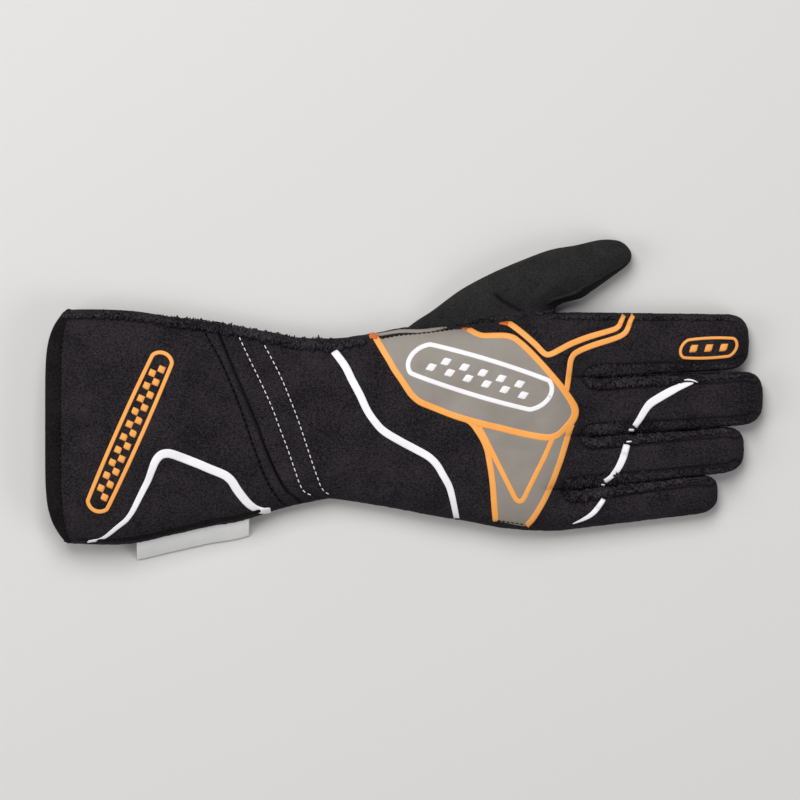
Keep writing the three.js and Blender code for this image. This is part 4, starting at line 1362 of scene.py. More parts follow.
@dataclass(frozen=True)
class Thumb:
    """Suede thumb, lofted through its sections and set into the hand's side."""

    surface: Surface
    finishes: Finishes
    start: float = 36.1
    length: float = 114.2
    width: float = 27.0
    height: float = 17.0
    turn_degrees: float = 17.9
    wall: float = 1.2
    rows: int = 190
    ring: int = 96
    seam_share: float = -0.74
    slack: float = 0.35
    slack_length: float = 26.0
    ripple: float = 0.08
    ripple_length: float = 7.0
    crease_depth: float = 0.8
    crease_width: float = 1.5
    crease_line: Rows = ((496, 295), (503, 301), (512, 306), (523, 312))
    # outer along and across, inner along and across, and crown, as shares, from root to tip
    sections: Rows = (
        (0, -0.053, -0.11, 0.35, -0.93, 0.46), (1, 0.048, 0.05, 0.42, -0.89, 0.52),
        (2, 0.135, 0.15, 0.495, -0.77, 0.66), (3, 0.27, 0.34, 0.61, -0.52, 0.86),
        (4, 0.41, 0.45, 0.66, -0.445, 1.0), (5, 0.547, 0.507, 0.744, -0.457, 1.0),
        (6, 0.682, 0.53, 0.8, -0.39, 0.97), (7, 0.788, 0.47, 0.855, -0.32, 0.92),
        (8, 0.895, 0.426, 0.91, -0.243, 0.82), (9, 0.962, 0.325, 0.963, -0.165, 0.7),
        (9.6, 0.988, 0.225, 0.988, -0.1, 0.6), (10, 1.0, 0.12, 1.0, -0.02, 0.5),
        (10.2, 1.003, 0.05, 1.003, 0.05, 0.4))

    def plan(self, along: np.ndarray, across: np.ndarray) -> np.ndarray:
        """Plan places of shares along and across the turned thumb.

        Args:
            along: Shares of its length.
            across: Shares of its width.

        Returns:
            X and Y in the last axis.
        """
        turn = math.radians(self.turn_degrees)
        forward, outward = along * self.length, across * self.width
        side = float(self.surface.body.section(np.array(self.start))[0])
        return np.stack([self.start + forward * math.cos(turn) - outward * math.sin(turn),
                         side + forward * math.sin(turn) + outward * math.cos(turn)], axis=-1)

    def frame(self, place: np.ndarray) -> tuple[np.ndarray, np.ndarray, np.ndarray, np.ndarray]:
        """Sizes of the thumb's sections.

        Args:
            place: Places along the sections' table.

        Returns:
            Plan places of the middle, the half width as a plan step, crown and seam height.
        """
        outer = self.plan(table_curve(self.sections, 1, place), table_curve(self.sections, 2, place))
        inner = self.plan(table_curve(self.sections, 3, place), table_curve(self.sections, 4, place))
        crown = self.height * table_curve(self.sections, 5, place)
        return (outer + inner) / 2, (outer - inner) / 2, crown, self.surface.body.side_share * crown

    def point(self, place: np.ndarray, t: np.ndarray, up: int) -> np.ndarray:
        """Points of the skin.

        Formula: between the section's two edges, the crown over the seam with soft waves and
        the root's crease on the back, and the flat sole on the front.

        Args:
            place: Places along the sections' table.
            t: Shares across.
            up: 1 for the back and -1 for the front.

        Returns:
            X, Y and Z in the last axis.
        """
        middle, half, crown, seam = self.frame(place)
        body = self.surface.body
        plan = middle[..., None, :] + half[..., None, :] * t[:, None]
        if up > 0:
            z = seam[:, None] + (crown - seam)[:, None] * body.crown_share(t)
            calm = 1 - np.abs(t) ** 6
            x, y = plan[..., 0], plan[..., 1]
            z = z + calm * (self.slack * waves(x, y, self.slack_length, 31)
                            + self.ripple * waves(x, y, self.ripple_length, 32)
                            - self.crease_depth * groove(self.crease_distance(plan), self.crease_width))
        else:
            z = seam[:, None] * (1 - body.sole_share(t, body.sole_corner))
        return np.concatenate([plan, z[..., None]], axis=-1)

    def crease_distance(self, plan: np.ndarray) -> np.ndarray:
        """Distance of plan places from the crease where the thumb bends at its root."""
        line = spline(from_photo(self.crease_line), 0.5)
        return np.min(np.linalg.norm(plan[..., None, :] - line, axis=-1), axis=-1)

    def skin(self) -> bpy.types.Object:
        """Build the thumb's skin.

        Formula: closed sections, crown over sole, along the table; rows come closer to the tip.

        Returns:
            The thumb's object.
        """
        last = self.sections[-1][0]
        place = last * (1 - (1 - np.linspace(0, 1, self.rows)) ** 1.35)
        count = self.ring // 2
        upper = self.point(place, np.sin(np.linspace(math.pi / 2, -math.pi / 2, count)), 1)
        lower = self.point(place, np.sin(np.linspace(-math.pi / 2, math.pi / 2, count))[1:-1], -1)
        loop = np.concatenate([upper, lower], axis=1)
        # Painted shade: darker along the root's crease, round the crotch by the hand and under the inner
        # seam's ridge.
        root = from_photo(((566, 303),))[0]
        deep = (0.8 * groove(self.crease_distance(loop[..., :2]), 0.9)
                + 0.5 * groove(np.linalg.norm(loop[..., :2] - root, axis=-1), 9.0))
        t = np.sin(np.linspace(math.pi / 2, -math.pi / 2, count))
        deep[:, :count] += (0.3 * smooth_step(-t, -self.seam_share, 0.8 - 0.04 * self.seam_share)
                            * smooth_step(place, 2.6, 4.0)[:, None])
        loop = np.concatenate([loop, np.clip(deep, 0, 0.9)[..., None]], axis=-1)
        faces = grid_quads(self.rows, loop.shape[1], wrap=True)[:, ::-1]
        points, faces = weld(loop.reshape(-1, 4), faces)
        piece = make_mesh("thumb_suede", points, faces, self.finishes.thumb_suede, "grey_suede")
        add_wall(piece, self.wall)
        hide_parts("thumb")
        return piece

    def build(self) -> None:
        """Build the thumb and the ridge of its inner seam."""
        self.skin()
        place = np.linspace(3.4, 9.2, 170)
        path = self.point(place, np.array([self.seam_share]), 1)[:, 0]
        up = np.tile([0.0, -0.35, 1.0], (len(path), 1))
        seams = Seams(self.surface, self.finishes)
        seams.ridge("thumb_inner_seam", path, up, 1.7, 0.55, 81, 0.8, self.finishes.thumb_suede)


@dataclass(frozen=True)
class Seams:
    """Outside seams: fleecy ridges where the knit's cut edges stand up."""

    surface: Surface
    finishes: Finishes
    step: float = 0.35
    ring: int = 20
    valley_width: float = 5.6
    tip_width: float = 2.4
    end_length: float = 3.0
    # coarseness of the tufts along and round a ridge, and their strengths
    tuft_length: float = 0.9
    lump_length: float = 3.5
    tuft_share: float = 0.19
    lump_share: float = 0.14
    outline_inset: float = 0.45
    index_inset: float = 2.1

    def ridge(self, name: str, path: np.ndarray, up: np.ndarray, width: np.ndarray | float,
              height: float, seed: int, lump: float = 1.0,
              finish: bpy.types.Material | None = None, slot: str = "black_knit") -> bpy.types.Object:
        """Build a ridge along a path.

        Formula: an ellipse carried along the path, its radius uneven by lumps of noise along
        and round it, and drawn in to a point over the first and last three millimetres.

        Args:
            name: The piece's name.
            path: An (n, 3) array of places.
            up: An (n, 3) array of directions away from the glove.
            width: Width across, the same everywhere or at each place.
            height: Height over the path.
            seed: Seed of the unevenness.
            lump: Strength of the unevenness.
            finish: The finish, or none for fleece.
            slot: The record's material slot.

        Returns:
            The ridge's object.
        """
        run = unit(np.gradient(path, axis=0))
        side = unit(np.cross(up, run))
        up = unit(np.cross(run, side))
        along = np.concatenate([[0], np.cumsum(np.linalg.norm(np.diff(path, axis=0), axis=1))])
        ends = np.clip(np.minimum(along, along[-1] - along) / self.end_length, 0, 1)
        ends = np.sqrt(1 - (1 - ends) ** 2)
        angle = np.linspace(0, 2 * math.pi, self.ring, endpoint=False)[None, :]
        s = along[:, None]
        round_x, round_y = np.cos(angle) * 2.2, np.sin(angle) * 2.2
        places = s + round_x, round_y + 0 * s
        rough = 1 + lump * (self.tuft_share * waves(*places, self.tuft_length, seed, 40)
                            + self.lump_share * waves(*places, self.lump_length, seed + 1))
        size = rough * ends[:, None]
        half = np.broadcast_to(np.asarray(width, dtype=float) / 2, along.shape)[:, None]
        out = side[:, None, :] * (np.cos(angle) * size * half)[..., None]
        rise = up[:, None, :] * (np.sin(angle) * size * height)[..., None]
        # Painted shade: darker on the ridge's lower flanks and in the hollows between its tufts.
        deep = np.clip((1.25 - rough) * 0.9 + 0.35 - 0.5 * np.sin(angle), 0, 0.9)
        points = np.concatenate([path[:, None, :] + out + rise, deep[..., None]], axis=-1)
        faces = grid_quads(len(path), self.ring, wrap=True)[:, ::-1]
        points, faces = weld(points.reshape(-1, 4), faces)
        return make_mesh(name, points, faces, finish or self.finishes.fuzz, slot)

    def on_back(self, name: str, plan: np.ndarray, width: Rows, height: float, seed: int,
                lump: float = 1.0, finish: bpy.types.Material | None = None,
                slot: str = "black_knit", lift: Rows = ((0, 0.05), (1, 0.05))) -> None:
        """Lay a ridge along a plan line on the back.

        Args:
            name: The piece's name.
            plan: An (n, 2) array of plan places.
            width: Shares of the line's length with the width at each.
            height: Height over the line.
            seed: Seed of the unevenness.
            lump: Strength of the unevenness.
            finish: The finish, or none for fleece.
            slot: The record's material slot.
            lift: Shares of the line's length with the height over the cloth at each.
        """
        line = spline(plan, self.step)
        share = np.linspace(0, 1, len(line))
        across, above = (np.interp(share, *np.array(rows).T) for rows in (width, lift))
        self.ridge(name, self.surface.on(line, above), self.surface.normal(line), across, height, seed,
                   lump, finish, slot)

    def cuff_side(self) -> None:
        """Ridge of the thumb-side seam, just inside the outline of cuff and wrist."""
        body = self.surface.body
        x = np.linspace(-129, 18, 60)
        t = 0.95 - 0.035 * smooth_step(x, -60, 10)
        self.on_back("cuff_side_seam", np.column_stack([x, body.side(x, t)]),
                     ((0, 4.0), (0.2, 5.2), (0.5, 6.2), (0.85, 6.6), (1, 3.0)), 1.3, 41, 1.3)
        x = np.linspace(-122, -30, 50)
        t = -0.965 + 0.01 * smooth_step(x, -80, -40)
        self.on_back("cuff_side_piping", np.column_stack([x, body.side(x, t)]),
                     ((0, 1.4), (0.3, 2.4), (0.8, 2.6), (1, 2.0)), 0.7, 43, 0.35, self.finishes.band)

    def valleys(self) -> None:
        """U-shaped pairs of ridges along the fingers' facing edges and round each crotch."""
        body = self.surface.body
        wide, thin = self.valley_width, self.tip_width
        for index in range(len(body.fingers) - 1):
            self.on_back(f"finger_valley_seam_{index + 1}", body.valley_line(index),
                         ((0, thin), (0.25, wide - 0.9), (0.46, wide), (0.54, wide),
                          (0.75, wide - 0.9), (1, thin)), 0.72, 50 + 2 * index, 1.6)

    def outline(self) -> None:
        """Low ridges where back and palm meet: both outer sides and round the fingertips."""
        body = self.surface.body
        seam = body.side_share * body.finger_height
        for index in range(len(body.fingers)):
            share = 1 - (1 - np.linspace(0.35, 1, 40)) ** 1.5
            upper = np.column_stack(body.finger_edge(index, 1, share))
            lower = np.column_stack(body.finger_edge(index, -1, share))[::-1]
            plan = np.vstack([upper, lower[1:]])
            if index == 0:
                reach = np.column_stack(body.finger_edge(0, 1, np.linspace(0.0, 0.33, 8)))
                hand = np.column_stack(body.hand_edge(0, np.linspace(0.35, 0.99, 30)))
                plan = np.vstack([hand, reach, plan])
            if index == len(body.fingers) - 1:
                reach = np.column_stack(body.finger_edge(index, -1, np.linspace(0.33, 0.0, 8)))
                hand = np.column_stack(body.hand_edge(4, np.linspace(0.99, 0.0, 40)))
                cuff_x = np.linspace(-27, -128, 40)
                cuff = np.column_stack([cuff_x, body.side(cuff_x, -np.ones(40))])
                plan = np.vstack([plan, reach, hand, cuff])
            line = spline(plan, self.step)
            run = unit(np.gradient(line, axis=0))
            out = np.column_stack([-run[:, 1], run[:, 0], np.zeros(len(run))])
            crown = body.section(line[:, 0])[2]
            on_body = 1 - smooth_step(line[:, 0], body.hand_length - body.knuckle_blend, body.hand_length - 8)
            z = seam + (body.side_share * crown - seam) * on_body
            path = np.column_stack([line - out[:, :2] * self.outline_inset, z])
            self.ridge(f"outline_seam_{index + 1}", path, out, 1.5, 0.7, 60 + 2 * index, 0.7)

    def index_side(self) -> None:
        """Ridge along the index finger's outer side, from the thumb's root to the tip."""
        body = self.surface.body
        hand = np.column_stack(body.hand_edge(0, np.linspace(0.89, 0.99, 6)))
        finger = np.column_stack(body.finger_edge(0, 1, np.linspace(0.03, 0.93, 24)))
        line = np.vstack([hand, finger]) - [0.0, self.index_inset]
        self.on_back("index_side_seam", line, ((0, 2.0), (0.2, 3.4), (1, 2.4)), 0.8, 75, 1.3)

    def thumb_root(self) -> None:
        """Ridge where the suede thumb is sewn to the back."""
        line = from_photo(((452, 324.5), (466, 322.5), (480, 319.5), (500, 316.5), (520, 314), (540, 312),
                           (556, 311)))
        self.on_back("thumb_root_seam", line, ((0, 1.4), (0.2, 2.8), (0.5, 4.4), (1, 3.4)), 1.5, 71, 1.5,
                     lift=((0, 0.6), (0.2, 2.2), (0.7, 2.4), (1, 0.6)))

    def panel_rim(self) -> None:
        """Rolled upper edge of the printed knuckle panel, where it is sewn to the thumb."""
        line = from_photo(((374, 334.8), (380, 334.5), (400, 331.3), (420, 331.2), (440, 328.6),
                           (450, 326.4), (460, 325.4)))
        self.on_back("knuckle_panel_rim", line, ((0, 2.0), (0.2, 2.3), (1, 2.3)), 0.7, 77, 0.35,
                     self.finishes.grey, "grey_print")

    def build(self) -> None:
        """Build all ridges."""
        self.cuff_side()
        self.valleys()
        self.outline()
        self.index_side()
        self.thumb_root()
        self.panel_rim()


@dataclass(frozen=True)
class Stitching:
    """Rows of topstitches, each stitch a short rounded thread."""

    surface: Surface
    finishes: Finishes
    white_length: float = 2.0
    white_pitch: float = 2.85
    thread: float = 0.55

    def stitches(self, name: str, line: np.ndarray, length: float, pitch: float, thread: float,
                 material: bpy.types.Material, lift: float = 0.12) -> bpy.types.Object:
        """Build a row of stitches along a plan line.

        Formula: at even steps along the line, a spindle of six by five points whose radius
        follows the fourth root of 1 minus the distance from its middle to the fourth power.

        Args:
            name: The piece's name.
            line: An (n, 2) array of plan places.
            length: Length of a stitch.
            pitch: Distance from one stitch to the next.
            thread: Thread's diameter.
            material: The thread's finish.
            lift: Height of the thread's middle over the cloth.

        Returns:
            The row's object.
        """
        even = spline(line, pitch / 8)
        centre = self.surface.on(even, lift)
        middle = np.arange(4, len(even) - 5, 8)
        run = unit(centre[middle + 1] - centre[middle - 1])
        up = np.tile([0.0, 0.0, 1.0], (len(middle), 1))
        side = unit(np.cross(up, run))
        up = np.cross(run, side)
        along = np.linspace(-1, 1, 7)
        radius = thread / 2 * (1 - np.abs(along) ** 4) ** 0.25
        angle = np.linspace(0, 2 * math.pi, 6, endpoint=False)
        ring = np.stack([np.cos(angle), np.sin(angle)], axis=-1)
        points = (centre[middle][:, None, None, :]
                  + run[:, None, None, :] * (along * length / 2)[None, :, None, None]
                  + side[:, None, None, :] * (radius[:, None] * ring[None, :, 0])[None, ..., None]
                  + up[:, None, None, :] * (radius[:, None] * ring[None, :, 1])[None, ..., None])
        quads = grid_quads(7, 6, wrap=True)[:, ::-1]
        faces = (quads[None] + (np.arange(len(middle)) * 42)[:, None, None]).reshape(-1, 4)
        return make_mesh(name, points.reshape(-1, 3), faces, material, "white_print"
                         if material is self.finishes.thread_white else "black_band")

    def seam_row(self, table: Rows, start: float, end: float) -> np.ndarray:
        """Plan line of a row beside the gauntlet seam.

        Args:
            table: The row's table.
            start: Share across where it starts.
            end: Share across where it ends.

        Returns:
            An (n, 2) array of plan places.
        """
        body, cloth = self.surface.body, self.surface.cloth
        t = np.linspace(start, end, 60)
        x = cloth.row_x(table, t)
        return np.column_stack([x, body.side(x, t)])

    def build(self) -> None:
        """Build the white rows, the black row and the hem's row."""
        body = self.surface.body
        for number, (row, end) in enumerate(zip(WHITE_ROWS, (-0.935, -0.97)), start=1):
            self.stitches(f"white_stitch_row_{number}", self.seam_row(row, 0.955, end),
                          self.white_length, self.white_pitch, self.thread, self.finishes.thread_white)
        self.stitches("black_stitch_row", self.seam_row(BLACK_ROW, 0.94, -0.94), 2.1, 3.0, 0.8,
                      self.finishes.thread_black, 0.0)
        line = from_photo(((381, 338.6), (400, 335.2), (420, 333.4), (440, 331), (456, 328.6)))
        self.stitches("panel_stitch_row", line, 1.7, 2.2, 0.55, self.finishes.thread_black, 0.3)
        line = from_photo(((497, 520.6), (510, 522.6), (528, 525.2)))
        self.stitches("side_stitch_row", line, 1.7, 2.2, 0.55, self.finishes.thread_black, 0.25)
        t = np.linspace(0.93, -0.93, 60)
        x = body.mouth_edge(t) + body.hem_width(t) + 0.2
        self.stitches("hem_stitch_row", np.column_stack([x, body.side(x, t)]), 1.7, 2.6, 0.6,
                      self.finishes.thread_black, 0.0)


@dataclass(frozen=True)
class Print:
    """One printed shape: its name, the solids it stands for, its finish and its record slot."""

    name: str
    nodes: tuple[str, ...]
    finish: str
    slot: str
    lift: float = 0.1
    thickness: float = 0.13


def flat_rise(shape: tuple[int, ...]) -> np.ndarray:
    """Thickness shares of a grid: 1 all over and nothing along its edges.

    Args:
        shape: Rows and columns of the grid.

    Returns:
        The share at each place.
    """
    rise = np.zeros(shape)
    rise[1:-1, 1:-1] = 1
    return rise


@dataclass(frozen=True)
class Badge:
    """Plain racing badge: an outlined capsule with chequered squares. Lengths are photo pixels.

    The lean is the run of its shear for each pixel of height, and the turn tilts it from the
    photo's rows towards the top, in degrees. Only the outline's width is in millimetres.
    """

    name: str
    finish: str
    lift: float
    centre: tuple[float, float]
    half: tuple[float, float]
    lean: float
    turn: float
    width: float
    squares: tuple[int, int]
    side: float

    def pixels(self, x: np.ndarray, y: np.ndarray) -> np.ndarray:
        """Photo columns and rows of places along and up the badge.

        Args:
            x: Places along its length, from its middle.
            y: Places up its height, from its middle.

        Returns:
            An (n, 2) array of columns and rows.
        """
        x = x + self.lean * y
        y = np.broadcast_to(y, x.shape)
        spin = math.radians(self.turn)
        column = self.centre[0] + x * math.cos(spin) - y * math.sin(spin)
        row = self.centre[1] - x * math.sin(spin) - y * math.cos(spin)
        return np.column_stack([column.ravel(), row.ravel()])

    def outline(self) -> Rows:
        """Closed line of the capsule.

        Formula: a half circle at each end of nearly straight sides, sheared and turned.

        Returns:
            Rows of column, row and width.
        """
        angle = np.linspace(0, 2 * math.pi + 0.2, 97)
        long, high = self.half
        x = np.clip(2.1 * np.cos(angle), -1, 1) * (long - high) + high * np.cos(angle)
        places = self.pixels(x, high * np.sin(angle))
        return tuple(map(tuple, np.column_stack([places, np.full(len(places), self.width)])))

    def checks(self) -> list[tuple[np.ndarray, np.ndarray]]:
        """Chequered field: every second square of a sheared grid.

        Returns:
            Grids and thicknesses of the squares.
        """
        columns, rows = self.squares
        local = np.linspace(-0.5, 0.5, 5) * self.side * 0.98
        fields = []
        for i in range(columns):
            for j in range(rows):
                if (i + j) % 2:
                    continue
                x = ((i - (columns - 1) / 2) * self.side + local)[:, None]
                y = ((j - (rows - 1) / 2) * self.side + local)[None, :]
                fields.append((from_photo(self.pixels(x, y)).reshape(5, 5, 2), flat_rise((5, 5))))
        return fields


@dataclass(frozen=True)
class Prints:
    """Screen prints that follow the cloth: panels, trims, stripes and plain badges.

    Lines are rows of photo column and row, with the width in millimetres where one is given.
    """

    surface: Surface
    finishes: Finishes
    step: float = 0.7
    hop: float = 7.0
    foot_hop: float = 12.0
    # where a lifted end starts to come down and where it lies flat again
    hop_reach: tuple[float, float] = (3.4, 6.4)
    # shares of the half width at which a stripe has its points
    strip_columns: tuple[float, ...] = (-1, -0.86, -0.6, -0.3, 0, 0.3, 0.6, 0.86, 1.0)
    cuff_line: Rows = (
        (87, 542, 1.1), (93, 540.9, 1.3), (99, 540, 1.4), (105, 537, 1.6), (110.4, 533, 1.9),
        (117, 527.5, 2.1), (121.5, 524, 2.2), (126, 520.2, 2.3), (130, 515.2, 2.4), (133.5, 509.5, 2.6),
        (138, 500.5, 2.8), (143.4, 489.7, 3.0), (148.3, 480, 3.2), (152, 470, 3.5),
        (156, 460.5, 3.9), (161, 455, 4.1),
        (167.5, 453.4, 4.2), (173, 454.4, 4.2), (180, 456.9, 4.2), (190, 460.7, 4.2), (200.3, 464.8, 4.2),
        (210, 469, 4.2), (220, 473, 4.2), (226, 476, 4.2), (231.5, 481, 4.2), (237.2, 490, 4.2),
        (244.9, 500, 4.0), (250.5, 505.6, 3.7), (257, 509.4, 3.3), (264, 511, 3.0), (270.5, 510.2, 2.6))
    wrist_line: Rows = (
        (334, 351, 3.6), (345, 366, 3.7), (352, 380, 3.7), (360, 395, 3.7), (367, 410, 3.6),
        (374, 420.5, 3.6), (383, 430.5, 3.7), (400, 441, 3.7), (415, 449, 3.7), (429, 457, 3.6),
        (437, 465, 3.5), (443, 475, 3.4), (449, 486, 3.3), (452, 496, 3.1), (454, 505, 2.9),
        (456.8, 519, 2.7))
    middle_line: Rows = (
        (694, 383, 0.6), (687, 384.5, 2.4), (680, 386.7, 3.2), (670, 391.7, 3.8), (660, 397.4, 3.9),
        (650.5, 403.6, 3.8), (645, 410.5, 3.4), (639.4, 420, 3.2), (634.5, 427, 3.0))
    middle_cap: Rows = ((683.5, 380.2, 0.3), (688, 379.6, 0.9), (693, 380.3, 0.9), (698.5, 382.6, 0.4))
    middle_foot: Rows = ((628.5, 429.8, 1.1), (631.5, 430.2, 1.4), (635, 430.2, 1.2))
    ring_line: Rows = (
        (627.2, 443.8, 3.4), (625.7, 450, 3.5), (622.4, 460, 3.4), (617.2, 470, 3.1), (610.8, 477.3, 2.5),
        (604.2, 482, 2.3))
    ring_cap: Rows = ((626, 442, 0.5), (629, 441.6, 0.9), (632.5, 441.4, 0.5))
    ring_foot: Rows = ((600.8, 485.2, 1.3), (603.5, 485.6, 1.5), (606, 485.2, 1.2))
    little_line: Rows = (
        (603.9, 499, 2.2), (602.5, 501.5, 2.5), (596.3, 510, 2.5), (590.8, 515.3, 2.2), (583, 519.8, 1.5),
        (573, 524, 0.4))
    knuckle_line: Rows = (
        (374.5, 335.5, 2.8), (376.5, 339, 3.0), (383, 350, 3.1), (389.1, 360, 3.1), (394.8, 370, 3.1),
        (401.7, 380, 3.1), (408, 389.6, 3.2), (412.3, 395.4, 3.2), (420, 401.8, 3.2), (430, 406.1, 3.2),
        (440, 410.1, 3.2), (450, 414, 3.2), (460, 417.4, 3.3), (480, 423.2, 3.4), (500, 428, 3.4),
        (515, 431.8, 3.4), (530, 435, 3.4), (543, 437.2, 3.4), (550, 437.4, 3.3), (555, 436, 3.2),
        (560, 433.2, 3.2), (566, 427.5, 3.4), (571.5, 421.5, 3.7), (574.8, 414.5, 3.7), (574.6, 408, 3.7),
        (570.5, 400, 3.4), (565.2, 392.3, 3.2), (560, 385.3, 3.1), (550, 373.6, 3.1), (540, 362.4, 3.1),
        (530, 351.8, 3.1), (520, 342.5, 3.0), (513, 337.6, 3.0), (505, 335.7, 2.9), (495, 335.5, 2.8),
        (483, 335.5, 2.7), (477, 333.8, 2.7), (470, 329.8, 2.7), (463, 325.6, 2.7), (458.5, 326.3, 1.5))
    side_left_line: Rows = (
        (466, 420, 2.2), (472, 424, 2.6), (477.5, 430.5, 3.0), (483.3, 440, 3.0), (487.3, 450, 3.0),
        (489.2, 460, 3.0), (491, 470, 3.0), (492.3, 480, 3.0), (493.3, 490, 3.0), (494, 500, 3.0),
        (494.8, 510, 3.0), (495.8, 521.5, 2.8))
    side_right_line: Rows = (
        (572, 424, 2.8), (569.5, 431, 2.8), (566.7, 440, 2.9), (563.7, 450, 2.9), (560.6, 460, 2.9),
        (557, 470, 2.9), (553.3, 480, 2.9), (549, 490, 2.8), (544.2, 500, 2.8), (538.5, 510, 2.8),
        (532.3, 519.5, 2.8), (526.5, 526, 2.6))
    vee_line: Rows = (
        (479, 426.5, 2.4), (484, 436, 2.6), (490, 448, 2.7), (496, 460, 2.7), (501, 470, 2.6),
        (506, 480, 2.6), (511, 490, 2.6), (514.7, 497.3, 2.6), (517.2, 500.6, 2.5), (519.8, 501.7, 2.5),
        (522.4, 500.4, 2.5), (525, 496.3, 2.5), (528, 490, 2.5), (533, 480, 2.5), (537.9, 470, 2.5),
        (543, 460, 2.5), (547.5, 450, 2.5), (551.5, 441, 2.5), (553.3, 436.8, 2.4))
    fork_upper_line: Rows = (
        (503, 322.5, 1.4), (507, 322.6, 2.4), (511, 324.3, 2.8), (520, 331, 2.9), (530, 339.5, 2.9),
        (537, 346, 2.9), (543, 352.3, 2.8), (547, 354.6, 2.8), (551.5, 353.9, 2.8), (560, 349.6, 2.9),
        (570, 344.3, 2.9), (580, 340.2, 2.9), (590, 336.6, 2.9), (600, 333.6, 2.8), (609, 331, 2.7),
        (616, 328.5, 2.6), (619.5, 325.5, 2.5), (621.5, 321, 2.5), (624.5, 314.5, 2.4))
    fork_lower_line: Rows = (
        (566, 392, 2.6), (567, 388, 2.6), (568.2, 380, 2.7), (569.5, 370, 2.7), (571, 360, 2.7),
        (574, 354.5, 2.7), (580, 350.6, 2.8), (590, 346.4, 2.8), (600, 343, 2.8), (610, 340, 2.7),
        (620, 336.3, 2.6), (625.5, 332.5, 2.6), (628.5, 327, 2.5), (631, 320, 2.5), (634, 314.5, 2.4))
    # Short pieces at the rolled rim's ends, in a darker orange that is painted shade where the print turns
    # over the fold.
    folds: tuple[Rows, ...] = (
        ((369, 336, 2.6), (373, 335.4, 3.0), (378, 336.8, 3.0)),
        ((457, 325.8, 1.6), (463, 326, 2.6), (468, 328.6, 2.6)),
        ((499, 322.6, 1.4), (504, 322.4, 2.4), (508.5, 323.4, 2.5)))
    panel_top: Rows = (
        (378, 338.8), (390, 336.8), (400, 335), (420, 333.2), (440, 330.6), (455, 329), (463, 328),
        (470, 330.5), (480, 336), (505, 337), (518, 343), (540, 364), (560, 387), (571, 404))
    panel_low: Rows = (
        (377.5, 340), (389.1, 360), (401.7, 380), (412.5, 395), (425, 403.5), (440, 410), (460, 417),
        (480, 423), (500, 428), (530, 434.5), (550, 437), (560, 433), (568, 426), (573.5, 412))
    side_top: Rows = (
        (478, 423.4), (490, 426), (500, 428), (515, 431.8), (530, 435), (543, 437.2), (552, 437),
        (560, 433.2), (569, 425))
    side_low: Rows = ((496.5, 521), (506, 523), (517, 525.2), (526, 526.5))
    badges: tuple[Badge, ...] = (
        Badge("cuff_badge_print", "orange", 0.1, (130, 432), (86, 12), 0.0, 66.0, 1.9, (21, 2), 7.0),
        Badge("knuckle_badge_print", "white", 0.28, (480, 377), (72, 19), 0.3, -17.0, 2.4, (11, 2), 9.6),
        Badge("index_badge_print", "orange", 0.1, (709, 348), (28, 10), 0.3, 2.0, 1.4, (5, 1), 7.5))

    def plates(self, shape: Print, grids: list[tuple[np.ndarray, np.ndarray]]) -> bpy.types.Object:
        """Lay printed plates on the cloth as one piece.

        Formula: for each grid of plan places, the cloth's height plus the lift and the rise,
        closed by a copy of the grid just under the cloth's face.

        Args:
            shape: The print's facts.
            grids: Grids of X and Y with the thickness at each place, nothing along the edges.

        Returns:
            The print's object.
        """
        points, quads, count = [], [], 0
        for plan, rise in grids:
            rows, columns = plan.shape[:2]
            base = self.surface.on(plan, -0.05)
            top = base.copy()
            top[..., 2] += 0.05 + (shape.lift + shape.thickness) * rise
            middle = rows // 2
            run, across = plan[middle] - plan[middle - 1], plan[middle, -1] - plan[middle, 0]
            run = run[columns // 2]
            under = rows * columns
            rim = np.concatenate([np.arange(columns), np.arange(1, rows) * columns + columns - 1,
                                  (rows - 1) * columns + np.arange(columns - 2, -1, -1),
                                  np.arange(rows - 2, 0, -1) * columns])
            after = np.roll(rim, -1)
            faces = grid_quads(rows, columns)
            shell = np.vstack([faces, faces[:, ::-1] + under,
                               np.stack([rim, after, after + under, rim + under], axis=-1)])
            if run[0] * across[1] - run[1] * across[0] < 0:
                shell = shell[:, ::-1]
            points += [top.reshape(-1, 3), base.reshape(-1, 3)]
            quads.append(shell + count)
            count += 2 * under
        piece = make_mesh(shape.name, np.vstack(points), np.vstack(quads),
                          getattr(self.finishes, shape.finish), shape.slot)
        if shape.nodes:
            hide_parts(*shape.nodes)
        return piece

    def strip(self, line: Rows, over: tuple[float, float] = (1.0, 1.0)) -> tuple[np.ndarray, np.ndarray]:
        """Grid and thickness of a stripe.

        Args:
            line: Rows of photo column and row and width.
            over: Times its thickness that its start and its end rise, where they cross a ridge.

        Returns:
            The grid of X and Y, and the thickness at each place.
        """
        rows = np.array(line)
        plan = np.column_stack([from_photo(line), rows[:, 2]])
        even = spline(plan, self.step)
        centre, half = even[:, :2], even[:, 2] / 2
        run = unit(np.gradient(centre, axis=0))
        side = np.column_stack([-run[:, 1], run[:, 0]])
        across = np.array(self.strip_columns)
        grid = centre[:, None, :] + side[:, None, :] * (half[:, None] * across)[..., None]
        rise = np.sqrt(np.maximum(0, 1 - np.abs(across) ** 6))[None, :] * np.ones((len(centre), 1))
        along = np.arange(len(centre)) * self.step
        first = 1 - smooth_step(along, *self.hop_reach)
        last = 1 - smooth_step(along[::-1], *self.hop_reach)
        rise = rise * (1 + np.maximum((over[0] - 1) * first, (over[1] - 1) * last))[:, None]
        rise[0] = rise[-1] = 0
        return grid, rise

